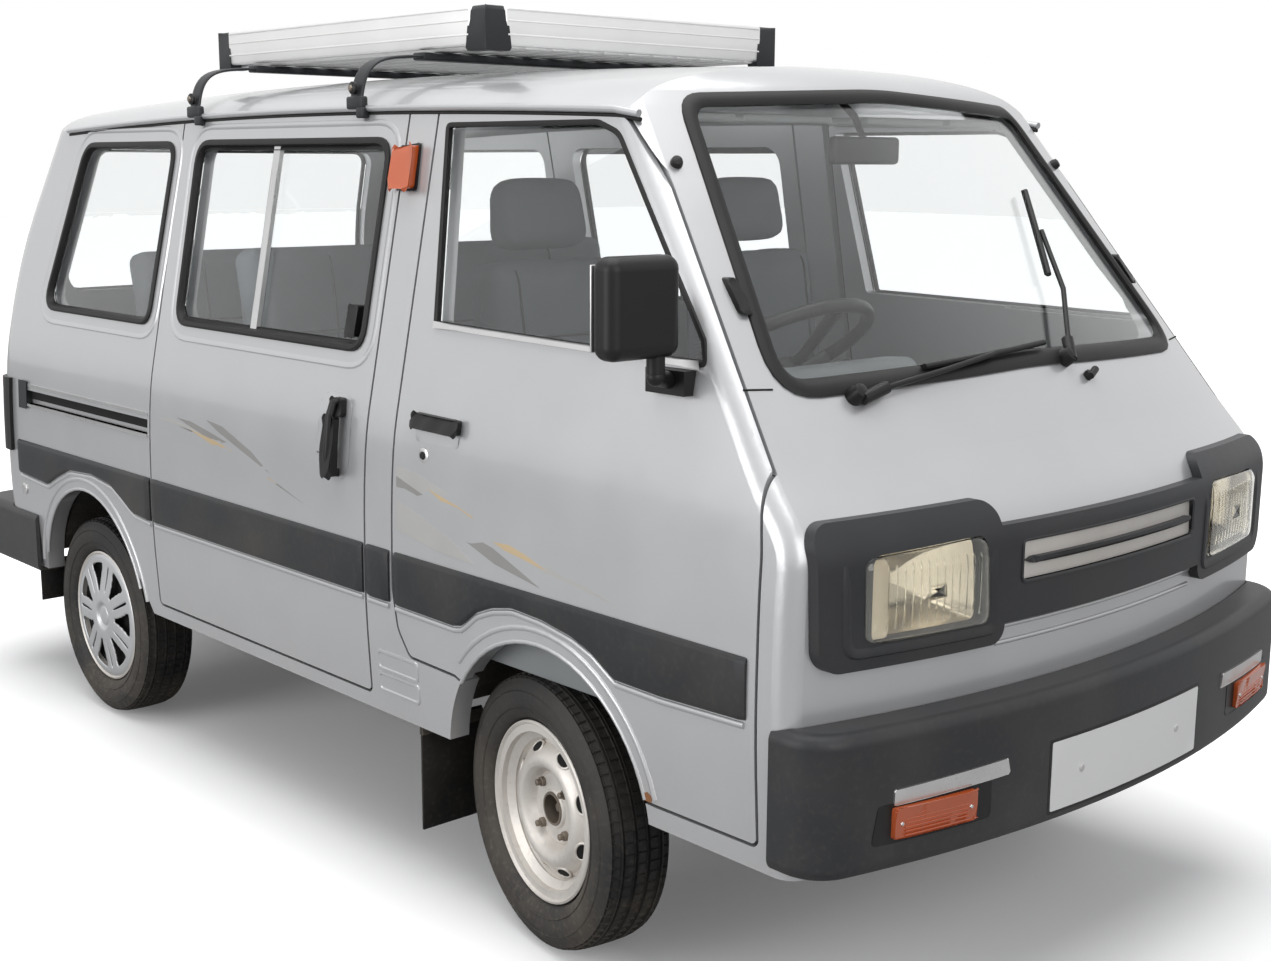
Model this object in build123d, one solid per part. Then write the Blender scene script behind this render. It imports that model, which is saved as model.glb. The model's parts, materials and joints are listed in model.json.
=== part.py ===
from build123d import *
from functools import lru_cache
import math
import os

# Microvan in millimetres. X points to the vehicle's left, the front faces -Y and Z is up.
# Lengths along the vehicle are stations: distances behind the front axle. Every node is moved
# by ORIGIN_STATION on export, so the finished part has Y = 0 halfway along its length.

# ---------------------------------------------------------------- driving dimensions
WHEELBASE = 1840
FRONT_OVERHANG = 797
REAR_OVERHANG = 733
ORIGIN_STATION = (WHEELBASE + REAR_OVERHANG - FRONT_OVERHANG) / 2
HEIGHT = 1640
SIDE_HALF = 706            # widest half width of the sheet metal
WALL = 45                  # depth of a door or a body wall
GAP = 6                    # shut line between a moving panel and its frame
DOOR_LIP = 25              # thickness of a door's outer lip; the rest of the door is stepped in
DOOR_STEP = 14
CLEAR = 6                  # between the doors and the floor or dashboard inside them
SILL_Z = 350               # underside of the body sides
FLOOR_Z = 395
FLOOR_SHEET = 12

AXLE_Z = 264
TYRE_R = 264
TYRE_W = 145
RIM_FLANGE_R = 171
BEAD_R = 153
RIM_HALF_W = 54
FRONT_TRACK_HALF = 607
REAR_TRACK_HALF = 600
REST_STEER = -8.5          # the front wheels stand turned a little to the right

BELT_Z = 1003              # shoulder line, where the upper side starts to lean in
GUTTER_Z = 1552
GUTTER_HALF = 571
GUTTER_MID = 850           # station of the highest point of the roof
ROOF_R = 25000             # lengthwise crown of the roof

NOSE_Y = -730              # front face on the centre line
NOSE_AXIS = 1737           # station of the upright axis that bows the nose and windscreen
TAIL_Y = 2410
TAIL_AXIS = TAIL_Y - 4000
FRONT_CORNER_R = 40
REAR_CORNER_R = 90

ARCH_R = 283
FRONT_ARCH = (-32, 320)
REAR_ARCH = (1815, 328)
FRONT_HOUSING = (0, 300, 330, 384)      # station, height, radius and inner wall
REAR_HOUSING = (1820, 310, 312, 490)
HOUSING_WALL = 8

DOOR_FRONT_Y = -566
DOOR_REAR_Y = 418
SLIDER_FRONT_Y = 514
SLIDER_REAR_Y = 1437


# ---------------------------------------------------------------- drawing helpers
def closed_face(points, radii=0):
    """Flat face with rounded corners, from corners in either order; radii is one number or one for each."""
    area = sum(a[0] * b[1] - b[0] * a[1] for a, b in zip(points, points[1:] + points[:1]))
    if area < 0:
        points = points[::-1]
        radii = radii[::-1] if isinstance(radii, list) else radii
    if radii == 0:
        return make_face(Polyline(*points, close=True))
    return make_face(FilletPolyline(*points, radius=radii, close=True))


def side_prism(points, x0, x1, radii=0, grow=0):
    """Outline in side view, as (station, height), running from x0 to x1."""
    face = closed_face(points, radii)
    if grow:
        face = offset(face, amount=grow)
    return extrude(Plane(origin=(x0, 0, 0), x_dir=(0, 1, 0), z_dir=(1, 0, 0)) * face, amount=x1 - x0)


def front_prism(points, y0, y1, radii=0, grow=0):
    """Outline in front view, as (x, height), running from station y0 to y1."""
    face = closed_face(points, radii)
    if grow:
        face = offset(face, amount=grow)
    return extrude(Plane(origin=(0, y1, 0), x_dir=(1, 0, 0), z_dir=(0, -1, 0)) * face, amount=y1 - y0)


def plan_prism(points, z0, z1, radii=0):
    """Outline seen from above, as (x, station), running from z0 to z1."""
    return extrude(Plane.XY.offset(z0) * closed_face(points, radii), amount=z1 - z0)


def block(x0, x1, y0, y1, z0, z1):
    centre = ((x0 + x1) / 2, (y0 + y1) / 2, (z0 + z1) / 2)
    return Pos(*centre) * Box(abs(x1 - x0), abs(y1 - y0), abs(z1 - z0))


def rod(start, end, radius):
    """Round bar between two points."""
    start, end = Vector(*start), Vector(*end)
    plane = Plane(origin=start, z_dir=end - start)
    return extrude(plane * Circle(radius), amount=(end - start).length)


def cross_disc(x0, x1, centre, radius):
    """Disc with its axis along X, centred at (station, height)."""
    return rod((x0, centre[0], centre[1]), (x1, centre[0], centre[1]), radius)


def mirrored(shape):
    return mirror(shape, about=Plane.YZ)


def both_sides(shape):
    return shape + mirrored(shape)


# ---------------------------------------------------------------- body surfaces
def side_line(z):
    """Half width of the upper side, which is flat and leans in."""
    return GUTTER_HALF + (GUTTER_Z - z) * (679 - GUTTER_HALF) / (GUTTER_Z - BELT_Z)


def gutter_height(y):
    return GUTTER_Z - (y - GUTTER_MID) ** 2 / (2 * ROOF_R)


def sides_solid(inset):
    """Body section across the vehicle, run from end to end."""
    top, bottom = 1800, 200
    lean = (side_line(top) - side_line(BELT_Z), top - BELT_Z)
    edges = []
    for sign in (1, -1):
        knots = [(679, BELT_Z), (691, 940), (700, 860), (SIDE_HALF, 700), (SIDE_HALF, 560), (698, 400), (685, bottom)]
        knots = [(sign * (x - inset), z) for x, z in knots]
        upper = (sign * (side_line(top) - inset), top)
        edges.append(Line(upper, knots[0]))
        edges.append(Spline(*knots, tangents=[(-sign * lean[0], -lean[1]), (-sign * 0.08, -1)]))
    edges.append(Line(edges[0] @ 0, edges[2] @ 0))
    edges.append(Line(edges[1] @ 1, edges[3] @ 1))
    face = make_face(edges)
    return extrude(Plane(origin=(0, 3000, 0), x_dir=(1, 0, 0), z_dir=(0, -1, 0)) * face, amount=4500)


def roof_solid(inset):
    """Everything under the crowned roof skin."""
    half = [(0, HEIGHT), (280, 1629), (430, 1609), (515, 1586), (GUTTER_HALF, GUTTER_Z)]
    crown = [(-x, z) for x, z in reversed(half[1:])] + half
    crown = Spline(*[(x, z - inset) for x, z in crown])
    low = GUTTER_Z - inset
    rest = Polyline(crown @ 1, (800, low), (800, 200), (-800, 200), (-800, low), crown @ 0)
    face = make_face([crown, rest])
    section = Plane(origin=(0, GUTTER_MID, 0), x_dir=(1, 0, 0), z_dir=(0, -1, 0)) * face
    hinge = Axis((0, GUTTER_MID, HEIGHT - ROOF_R), (1, 0, 0))
    sweep = 8
    return revolve(section.rotate(hinge, -sweep / 2), axis=hinge, revolution_arc=sweep)


def nose_solid(inset):
    """Everything behind the nose and the windscreen, bowed about an upright axis."""
    lean = Vector(450, 580).normalized()
    lower = Line((NOSE_Y + inset, 200), (NOSE_Y + inset, 840))
    bend = Spline(lower @ 1, (-692 + inset, 925), (-640 + inset, 986), tangents=[(0, 1), (lean.X, lean.Y)])
    screen = Line(bend @ 1, (-190 + inset, 1566))
    meet = 150
    meet_z = HEIGHT - (meet - GUTTER_MID) ** 2 / (2 * ROOF_R) + 0.5 - inset
    header = Spline(screen @ 1, (meet, meet_z), tangents=[(lean.X, lean.Y), (1, 0.03)])
    top = Polyline(header @ 1, (NOSE_AXIS - 5, meet_z + 0.03 * (NOSE_AXIS - meet)), (NOSE_AXIS - 5, 200), lower @ 0)
    face = make_face([lower, bend, screen, header, top])
    section = Plane(origin=(0, 0, 0), x_dir=(0, 1, 0), z_dir=(1, 0, 0)) * face
    axis = Axis((0, NOSE_AXIS, 0), (0, 0, 1))
    wedge = revolve(section.rotate(axis, -26), axis=axis, revolution_arc=52)
    return wedge + block(-900, 900, 260, 3000, 200, 1900)


def tail_solid(inset):
    """Everything in front of the tail, bowed about an upright axis."""
    lower = Line((TAIL_Y - inset, 200), (TAIL_Y - inset, 900))
    lean = Vector(-114, 225).normalized()
    bend = Spline(lower @ 1, (2394 - inset, 1124), (2336 - inset, 1300), tangents=[(0, 1), (lean.X, lean.Y)])
    slope = Line(bend @ 1, (2222 - inset, 1525))
    meet = 1950
    meet_z = HEIGHT - (meet - GUTTER_MID) ** 2 / (2 * ROOF_R) + 0.5 - inset
    header = Spline(slope @ 1, (meet, meet_z), tangents=[(lean.X, lean.Y), (-1, 0.044)])
    top = Polyline(header @ 1, (TAIL_AXIS + 5, meet_z + 160), (TAIL_AXIS + 5, 200), lower @ 0)
    face = make_face([lower, bend, slope, header, top])
    section = Plane(origin=(0, 0, 0), x_dir=(0, 1, 0), z_dir=(1, 0, 0)) * face
    axis = Axis((0, TAIL_AXIS, 0), (0, 0, 1))
    wedge = revolve(section.rotate(axis, -14), axis=axis, revolution_arc=28)
    return wedge + block(-900, 900, -1200, 1900, 200, 1900)


def upright_edges(shape, front):
    """Corner edges of the nose or of the tail, from the sill to the roof."""
    edges = [e for e in shape.edges() if abs(e.center().X) > 400 and e.center().Z > SILL_Z + 5]
    if front:
        return [e for e in edges if e.center().Y < -100 and e.bounding_box().size.Y < 600]
    return [e for e in edges if e.center().Y > 1900 and e.bounding_box().size.Z > 3]


@lru_cache
def envelope(inset, bottom=SILL_Z):
    """Body volume, set in from the outer skin; a negative inset lies outside it."""
    whole = sides_solid(inset) & nose_solid(inset) & tail_solid(inset)
    whole = whole & block(-900, 900, -1200, 3000, bottom, 1900)
    if inset < 20:
        whole = fillet(upright_edges(whole, True), FRONT_CORNER_R - inset)
        whole = fillet(upright_edges(whole, False), REAR_CORNER_R - inset)
    return whole & roof_solid(inset)


def shell(outer_inset, inner_inset):
    """Skin between two depths, open underneath."""
    return envelope(outer_inset) - envelope(inner_inset, SILL_Z - 40)


# ---------------------------------------------------------------- outlines, left side
def gutter_points(start, stop, drop):
    """Points under the roof gutter, front to rear."""
    steps = 4
    stations = [start + (stop - start) * i / steps for i in range(steps + 1)]
    return [(y, gutter_height(y) - drop) for y in stations]


FRONT_DOOR = [
    (DOOR_REAR_Y, gutter_height(DOOR_REAR_Y) - 4), (-55, gutter_height(-55) - 4), (-120, 1522), (-347, 1291),
    (-487, 1106), (-548, 1010), (DOOR_FRONT_Y, 860), (DOOR_FRONT_Y, 390), (-330, 388), (-32, 400),
    (222, 486), (368, 490), (404, 540), (DOOR_REAR_Y, 620)]
FRONT_DOOR_R = [14, 90, 60, 200, 120, 120, 200, 14, 8, 8, 8, 22, 60, 60]
FRONT_WINDOW = [(385, 1514), (-50, 1513), (-109, 1494), (-382, 1168), (-396, 1128), (335, 1140)]
FRONT_WINDOW_R = [10, 60, 60, 10, 10, 10]

SLIDER = [(SLIDER_REAR_Y, 383), (SLIDER_FRONT_Y, 383), (SLIDER_FRONT_Y, gutter_height(SLIDER_FRONT_Y) - 4),
          (SLIDER_REAR_Y, gutter_height(SLIDER_REAR_Y) - 4)]
SLIDER_R = 14
SLIDER_WINDOW = [(1344, 1078), (570, 1078), (570, 1482), (1348, 1482)]
SLIDER_WINDOW_R = 45
QUARTER_WINDOW = [(2080, 1066), (1490, 1066), (1470, 1480), (1950, 1480)]
QUARTER_WINDOW_R = [45, 40, 40, 60]
SCREEN = [(-570, 1096), (0, 1113), (570, 1096), (462, 1542), (0, 1561), (-462, 1542)]
SCREEN_R = [45, 4000, 45, 45, 3000, 45]
TAILGATE = [(-610, 640), (610, 640), (608, 1000), (520, 1530), (420, 1562), (-420, 1562), (-520, 1530), (-608, 1000)]
TAILGATE_R = [40, 40, 200, 60, 60, 60, 60, 200]
TAIL_WINDOW = [(-500, 1080), (500, 1080), (440, 1475), (-440, 1475)]
TAIL_WINDOW_R = 50
LENS = [(344, 723), (574, 723), (574, 856), (352, 864)]
LENS_R = 16


def arch_cut(centre, x_in=380, x_out=900):
    return cross_disc(x_in, x_out, centre, ARCH_R)


def rear_arch_cut():
    """The rear opening runs straight down and forward from the circle at its front."""
    y, z = REAR_ARCH
    tail = side_prism([(y - 235, z + 157), (y - 352, SILL_Z - 20), (y + 200, SILL_Z - 20)], 380, 900)
    return arch_cut(REAR_ARCH) + tail


def gutter_side(far_z):
    """All that lies between the seam just over the roof gutter and a level far above or below it."""
    front, rear, rise = -900, 2600, 6
    ends = [(y, gutter_height(y) + rise) for y in (front, rear)]
    arc = ThreePointArc(ends[0], (GUTTER_MID, GUTTER_Z + rise), ends[1])
    face = make_face([arc, Polyline(arc @ 1, (rear, far_z), (front, far_z), arc @ 0)])
    return extrude(Plane(origin=(-900, 0, 0), x_dir=(0, 1, 0), z_dir=(1, 0, 0)) * face, amount=1800)


def door_zone():
    """Where the front door may reach inward: thin ahead of its window, where the screen pillar stands."""
    pillar = [(300, 200), (300, 900), (side_line(975) - DOOR_LIP, 975), (side_line(1600) - DOOR_LIP, 1600),
              (900, 1600), (900, 200)]
    return front_prism(pillar, -900, -60) + block(300, 900, -60, 2600, 200, 1700)


# ---------------------------------------------------------------- body panels
def build_panels():
    nodes = {}
    skin = shell(0, WALL)
    above = gutter_side(1900)
    below = gutter_side(200)
    screen_hole = front_prism(SCREEN, -900, 150, SCREEN_R)
    gate_hole = front_prism(TAILGATE, 1950, 2600, TAILGATE_R, GAP / 2)

    whole_skin = skin
    skin = skin - screen_hole - gate_hole
    nodes["roof_panel"] = skin & above
    lower = skin & below

    pillar_seam = 1103
    nose_cut = block(-900, 900, -900, DOOR_FRONT_Y + 30, 200, pillar_seam)
    nose_cut += block(-900, 900, -900, -300, 200, 389)
    nose_cut += side_prism([(-600, 1003), (-400, 1003), (-400, pillar_seam), (-600, pillar_seam)], -900, 900)
    door_hole = side_prism(FRONT_DOOR, 300, 900, FRONT_DOOR_R, GAP / 2) & Pos(-GAP / 2, 0, 0) * door_zone()
    nose = (lower & nose_cut) - both_sides(door_hole) - both_sides(arch_cut(FRONT_ARCH))
    lens_hole = front_prism(LENS, -900, -500, LENS_R, 4)
    nodes["front_panel"] = nose - both_sides(lens_hole)

    tail_x = 612
    tail_cut = block(-tail_x, tail_x, 2150, 2600, 200, 700)
    nodes["rear_panel"] = lower & tail_cut

    slider_hole = side_prism(SLIDER, 300, 900, SLIDER_R, GAP / 2)
    quarter_hole = side_prism(QUARTER_WINDOW, 300, 900, QUARTER_WINDOW_R)
    rail_slot = block(640, 900, SLIDER_REAR_Y + 12, 2185, 800, 846) - sides_solid(14)
    side = (lower & block(0, 900, -900, 2600, 200, 1700)) - nose_cut - tail_cut
    side = side - door_hole - slider_hole - quarter_hole - rail_slot - arch_cut(FRONT_ARCH) - rear_arch_cut()
    side = side - side_prism(FRONT_WINDOW, 300, 900, FRONT_WINDOW_R, 6)
    nodes["side_panel_left"] = side
    nodes["side_panel_right"] = mirrored(side)

    door = lower & side_prism(FRONT_DOOR, 300, 900, FRONT_DOOR_R, -GAP / 2) & Pos(GAP / 2, 0, 0) * door_zone()
    step = envelope(DOOR_LIP + 1) - side_prism(FRONT_DOOR, 300, 900, 0, -GAP / 2 - DOOR_STEP)
    door = door - step - arch_cut(FRONT_ARCH) - side_prism(FRONT_WINDOW, 300, 900, FRONT_WINDOW_R)
    nodes["front_door_left"] = door
    nodes["front_door_right"] = mirrored(door)
    slider = (lower & side_prism(SLIDER, 300, 900, SLIDER_R, -GAP / 2)) - side_prism(SLIDER_WINDOW, 300, 900,
                                                                                SLIDER_WINDOW_R)
    nodes["sliding_door_left"] = slider
    nodes["sliding_door_right"] = mirrored(slider)
    gate = whole_skin & front_prism(TAILGATE, 1950, 2600, TAILGATE_R, -GAP / 2)
    nodes["tailgate"] = gate - front_prism(TAIL_WINDOW, 1950, 2600, TAIL_WINDOW_R)

    pane = shell(13, 18)
    fit = -0.6
    glass = pane & side_prism(FRONT_WINDOW, 300, 900, FRONT_WINDOW_R, fit) & Pos(GAP / 2, 0, 0) * door_zone()
    nodes["front_door_glass_left"] = glass
    nodes["front_door_glass_right"] = mirrored(glass)
    nodes["sliding_door_glass"] = both_sides(pane & side_prism(SLIDER_WINDOW, 300, 900, SLIDER_WINDOW_R, fit))
    nodes["quarter_glass"] = both_sides(pane & side_prism(QUARTER_WINDOW, 300, 900, QUARTER_WINDOW_R, fit))
    nodes["windscreen"] = shell(6, 12) & front_prism(SCREEN, -900, 150, SCREEN_R, fit)
    nodes["tailgate_glass"] = pane & front_prism(TAIL_WINDOW, 1950, 2600, TAIL_WINDOW_R, fit)

    lens = shell(-8, 30) & front_prism(LENS, -900, -500, LENS_R)
    nodes["headlights"] = both_sides(lens)
    nodes["grille"] = build_grille()
    nodes["tail_lamps"] = both_sides(build_tail_lamp())
    return nodes


def build_grille():
    """Dark trim across the nose: a bezel around each headlight and the bar between them."""
    band = shell(-20, -1)
    bezel = front_prism([(300, 682), (668, 682), (676, 912), (312, 918)], -900, -560, [30, 40, 40, 30])
    bar = front_prism([(-330, 715), (330, 715), (330, 876), (-330, 876)], -900, -600)
    hole = front_prism(LENS, -900, -500, LENS_R, 3)
    slot = front_prism([(-262, 781), (262, 781), (262, 844), (-262, 844)], -900, -600, 6)
    rib = front_prism([(-262, 806), (262, 806), (262, 819), (-262, 819)], -900, -600)
    frame = (band & bezel) - hole
    shape = frame + mirrored(frame) + ((band & bar) - both_sides(hole) - slot)
    return shape + (shell(-12, -1) & rib)


def build_tail_lamp():
    cut = block(616, 720, 2250, 2500, 660, 860)
    return shell(-10, -1) & cut


# ---------------------------------------------------------------- floor and chassis
SEAT_BOX_TOP = 660


def wheel_housing(housing, x_out, inset):
    """Both sides' drums over one pair of wheels, as solids, each inset inside its outer face."""
    y, z, radius, x_in = housing
    return both_sides(cross_disc(x_in + inset, x_out, (y, z), radius - inset))


def build_floor():
    """Floor sheet on two long rails, the raised box under the front seats and the wheel housings."""
    nodes = {}
    half = SIDE_HALF - WALL - 16
    corner = 85
    outline = [(-half, -590), (-350, -650), (350, -650), (half, -590), (half, 2250), (half - corner, 2300),
               (corner - half, 2300), (-half, 2250)]
    box_half = half - 5
    above = block(-900, 900, -900, 2600, FLOOR_Z, 900)
    drums = {"front": FRONT_HOUSING, "rear": REAR_HOUSING}
    wheel_space = Part()
    for name, housing in drums.items():
        wheel_space += wheel_housing(housing, 900, 0)
        drum = wheel_housing(housing, box_half + 2, 0) & above
        nodes[name + "_wheel_housings"] = drum - wheel_housing(housing, 900, HOUSING_WALL)
    seat_box = block(-box_half, box_half, -232, 622, FLOOR_Z, SEAT_BOX_TOP)
    engine_bay = block(-308, 308, -222, 612, FLOOR_Z - 20, SEAT_BOX_TOP - 10)
    side_bay = both_sides(block(384, box_half - 10, 278, 612, FLOOR_Z - 20, SEAT_BOX_TOP - 10))
    nodes["seat_box"] = seat_box - engine_bay - side_bay - wheel_space
    floor = plan_prism(outline, FLOOR_Z, FLOOR_Z + FLOOR_SHEET) - seat_box - wheel_space
    floor += both_sides(block(318, 372, -640, 2290, 330, FLOOR_Z))
    for y in (-600, 640, 1290, 2230):
        floor += block(-372, 372, y - 30, y + 30, 345, FLOOR_Z)
    nodes["floor_pan"] = floor
    return nodes


def build_driveline():
    nodes = {}
    nodes["engine"] = block(-150, 150, 60, 590, 235, 600) + block(-85, 85, 590, 1010, 255, 340)
    nodes["propeller_shaft"] = rod((0, 1016, 285), (0, WHEELBASE - 116, 268), 30)
    axle = rod((-505, WHEELBASE, AXLE_Z), (505, WHEELBASE, AXLE_Z), 34)
    axle += rod((0, WHEELBASE - 110, AXLE_Z), (0, WHEELBASE + 90, AXLE_Z), 88)
    for side in (-1, 1):
        x0, x1 = side * 418, side * 472
        top = ThreePointArc((WHEELBASE - 485, 372), (WHEELBASE, 300), (WHEELBASE + 485, 372))
        low = ThreePointArc((WHEELBASE + 485, 352), (WHEELBASE, 276), (WHEELBASE - 485, 352))
        ends = [Line(top @ 1, low @ 0), Line(low @ 1, top @ 0)]
        face = make_face([top, ends[0], low, ends[1]])
        leaf = Plane(origin=(min(x0, x1), 0, 0), x_dir=(0, 1, 0), z_dir=(1, 0, 0)) * face
        axle += extrude(leaf, amount=abs(x1 - x0))
        for y in (WHEELBASE - 465, WHEELBASE + 465):
            axle += block(x0, x1, y - 20, y + 20, 350, FLOOR_Z - 1)
        axle += rod((side * 500, WHEELBASE, AXLE_Z), (side * 540, WHEELBASE, AXLE_Z), 98)
    nodes["rear_axle"] = axle
    tank = block(90, 560, 740, 1250, 190, 325)
    nodes["fuel_tank"] = fillet(tank.edges(), 24)
    pipe = rod((-210, 700, 300), (-210, 1240, 290), 20)
    pipe += rod((-210, 1240, 290), (-210, 1560, 290), 20)
    muffler = extrude(Plane(origin=(-225, 800, 270), x_dir=(1, 0, 0), z_dir=(0, 1, 0)) * Ellipse(85, 58), amount=430)
    tail = rod((-210, 1560, 290), (-250, 1720, 366), 20) + Pos(-250, 1720, 366) * Sphere(20)
    tail += rod((-250, 1720, 366), (-250, 1960, 366), 20) + Pos(-250, 1960, 366) * Sphere(20)
    tail += rod((-250, 1960, 366), (-300, 2380, 262), 20)
    nodes["exhaust"] = pipe + muffler + tail
    arms = block(-372, 372, -40, 40, 280, 329)
    for side in (-1, 1):
        arms += rod((side * 300, 40, 300), (side * 340, 40, 178), 26)
        arms += rod((side * 310, 40, 186), (side * BALL_X, 4, 156), 14)
        arms += rod((side * 325, 330, 300), (side * 440, 22, 171), 12)
        arms += block(side * 318, side * 345, 310, 350, 290, 329)
    nodes["front_suspension"] = arms
    return nodes


# ---------------------------------------------------------------- wheels and steering
BALL_X = 568               # lower ball joint
TOP_X = 452                # upper mount of the strut
STRUT_TOP_Z = 590
KINGPIN_Z = (178, 620)


def kingpin(side):
    """Low and high points of the steering axis of one front wheel."""
    return Vector(side * BALL_X, 0, KINGPIN_Z[0]), Vector(side * TOP_X, 10, KINGPIN_Z[1])


def steered(shape, side):
    """Turned about the upright line through the kingpin at hub height, so the tyre stays on the ground."""
    low, high = kingpin(side)
    at_hub = low + (high - low) * ((AXLE_Z - low.Z) / (high.Z - low.Z))
    return shape.rotate(Axis(at_hub, (0, 0, 1)), REST_STEER)


def tyre(side, x, y):
    half = TYRE_W / 2
    wall = [(46, 173), (66, 190), (half, 212), (half - 3, 234), (58, 255), (36, 262), (0, TYRE_R)]
    over = Spline(*(wall + [(-a, r) for a, r in reversed(wall[:-1])]))
    bead = Polyline(over @ 1, (-46, BEAD_R + 1), (46, BEAD_R + 1), over @ 0)
    profile = make_face([over, bead])
    ring = revolve(Plane.XZ * profile, axis=Axis.X, revolution_arc=360)
    return Pos(x, y, AXLE_Z) * ring


def rim(side, x, y):
    """Pressed steel wheel: rolled barrel, dished disc with round vents and an open hub hole."""
    w = RIM_HALF_W
    outer = [(w + 2, RIM_FLANGE_R), (w - 4, RIM_FLANGE_R - 3), (w - 5, 154), (40, BEAD_R - 1), (28, 138), (-20, 138),
             (-34, BEAD_R - 1), (-w + 5, 154), (-w + 4, RIM_FLANGE_R - 3), (-w - 2, RIM_FLANGE_R)]
    inner = [(-w - 4, RIM_FLANGE_R - 4), (-w + 1, 163), (-w + 1, 149), (-36, 147), (-24, 133), (32, 133), (43, 147),
             (w - 1, 149), (w - 1, 163), (w + 4, RIM_FLANGE_R - 4)]
    barrel = make_face(Polyline(*(outer + inner), close=True))
    disc = make_face(Polyline((30, 134), (22, 128), (32, 112), (36, 96), (18, 82), (14, 74), (24, 64), (24, 30),
                              (18, 30), (18, 62), (8, 74), (12, 84), (30, 98), (26, 112), (16, 128), (16, 134),
                              close=True))
    shape = revolve(Plane.XZ * barrel, axis=Axis.X, revolution_arc=360)
    shape += revolve(Plane.XZ * disc, axis=Axis.X, revolution_arc=360)
    for i in range(8):
        turn = math.radians(360 / 8 * i)
        y0, z0 = 106 * math.cos(turn), 106 * math.sin(turn)
        shape -= rod((0, y0, z0), (50, y0, z0), 12)
    shape = shape if side > 0 else mirrored(shape)
    return Pos(x, y, AXLE_Z) * shape


def knuckle(side):
    low, high = kingpin(side)
    axis = (high - low).normalized()
    foot = low + axis * 6
    top = low + axis * ((STRUT_TOP_Z - low.Z) / axis.Z)
    shape = rod(tuple(foot), tuple(top), 19)
    shape += rod((side * 508, 0, AXLE_Z), (side * 578, 0, AXLE_Z), 62)
    seat = low + axis * ((470 - low.Z) / axis.Z)
    shape += rod(tuple(seat), tuple(top), 21)
    shape += block(side * 530, side * 556, -24, 24, 190, 330)
    return shape


def build_wheels():
    nodes = {}
    for name, side in (("left", 1), ("right", -1)):
        x = side * FRONT_TRACK_HALF
        nodes["front_tyre_" + name] = steered(tyre(side, x, 0), side)
        nodes["front_rim_" + name] = steered(rim(side, x, 0), side)
        nodes["front_knuckle_" + name] = steered(knuckle(side), side)
        x = side * REAR_TRACK_HALF
        nodes["rear_tyre_" + name] = tyre(side, x, WHEELBASE)
        nodes["rear_rim_" + name] = rim(side, x, WHEELBASE)
    return nodes


WHEEL_CENTRE = Vector(-310, -215, 1105)     # steering wheel
COLUMN_TILT = 32                            # of the column from upright


def column_axis():
    tilt = math.radians(COLUMN_TILT)
    return Vector(0, math.sin(tilt), math.cos(tilt))


def build_steering():
    axis = column_axis()
    plane = Plane(origin=WHEEL_CENTRE, x_dir=(1, 0, 0), z_dir=axis)
    rim_r, bar, dish = 184, 13, 42
    wheel = Pos(0, 0, 4 - dish) * Cylinder(44, 44)
    for angle in (10, 170, 270):
        turn = math.radians(angle)
        wheel += rod((0, 0, -dish), (rim_r * math.cos(turn), rim_r * math.sin(turn), 0), 10)
    wheel += Torus(rim_r, bar)
    start = WHEEL_CENTRE - axis * (dish + 24)
    column = rod(tuple(start), tuple(start - axis * 560), 19)
    wheel = plane * wheel
    return {"steering_wheel": wheel, "steering_column": column}


# ---------------------------------------------------------------- cabin
def build_cabin():
    nodes = {}
    profile = [(-560, 830), (-420, 800), (-330, 830), (-300, 900), (-310, 1000), (-380, 1060), (-470, 1072)]
    dash = side_prism(profile, -585, 585, [10, 30, 40, 30, 40, 30, 10])
    binnacle = side_prism([(-440, 1040), (-325, 990), (-296, 1030), (-326, 1100), (-410, 1106)], -470, -150,
                          [20, 20, 20, 30, 30])
    column_way = build_steering()["steering_column"]
    clear = rod(tuple(column_way.center()), tuple(column_way.center() + column_axis() * 300), 26)
    clear += rod(tuple(column_way.center()), tuple(column_way.center() - column_axis() * 300), 26)
    nodes["dashboard"] = ((dash + binnacle) & envelope(WALL + CLEAR)) - clear
    seats = Part()
    for side in (-1, 1):
        x = side * 300
        cushion = side_prism([(-140, 690), (330, 680), (330, 800), (-110, 850), (-160, 800)], x - 225, x + 225,
                             [20, 10, 20, 40, 30])
        back = side_prism([(300, 830), (420, 815), (505, 1240), (390, 1250)], x - 215, x + 215, 30)
        head = side_prism([(393, 1250), (505, 1243), (540, 1400), (500, 1425), (440, 1415)], x - 130, x + 130,
                          [5, 5, 30, 20, 30])
        seats += cushion + Pos(0, 4, 4) * (back + head)
    nodes["front_seats"] = seats
    nodes["middle_bench"] = bench(700, 1130, 560, 700, 1265)
    nodes["rear_bench"] = bench(1400, 1850, 480, 690, 1225)
    return nodes


def bench(front, back_y, half, seat_z, top_z):
    cushion = side_prism([(front, seat_z - 120), (back_y - 10, seat_z - 120), (back_y - 10, seat_z),
                          (front + 10, seat_z + 30)], -half, half, 25)
    back = side_prism([(back_y, seat_z - 60), (back_y + 95, seat_z - 60), (back_y + 180, top_z),
                       (back_y + 100, top_z)], -half, half, 28)
    return cushion + back


# ---------------------------------------------------------------- outside fittings
def bumper_plan(centre_y, bow_axis, half, end_y, corner):
    """Curved bar seen from above, with its ends turned along the sides."""
    radius = abs(bow_axis - centre_y)
    sign = 1 if bow_axis > centre_y else -1
    corner_y = bow_axis - sign * math.sqrt(radius ** 2 - half ** 2)
    bow = ThreePointArc((-half, corner_y), (0, centre_y), (half, corner_y))
    rest = Polyline((half, corner_y), (half, end_y), (-half, end_y), (-half, corner_y))
    face = make_face([bow, rest])
    corners = [v for v in face.vertices() if abs(v.Y - corner_y) < 1]
    return fillet(corners, corner)


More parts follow.
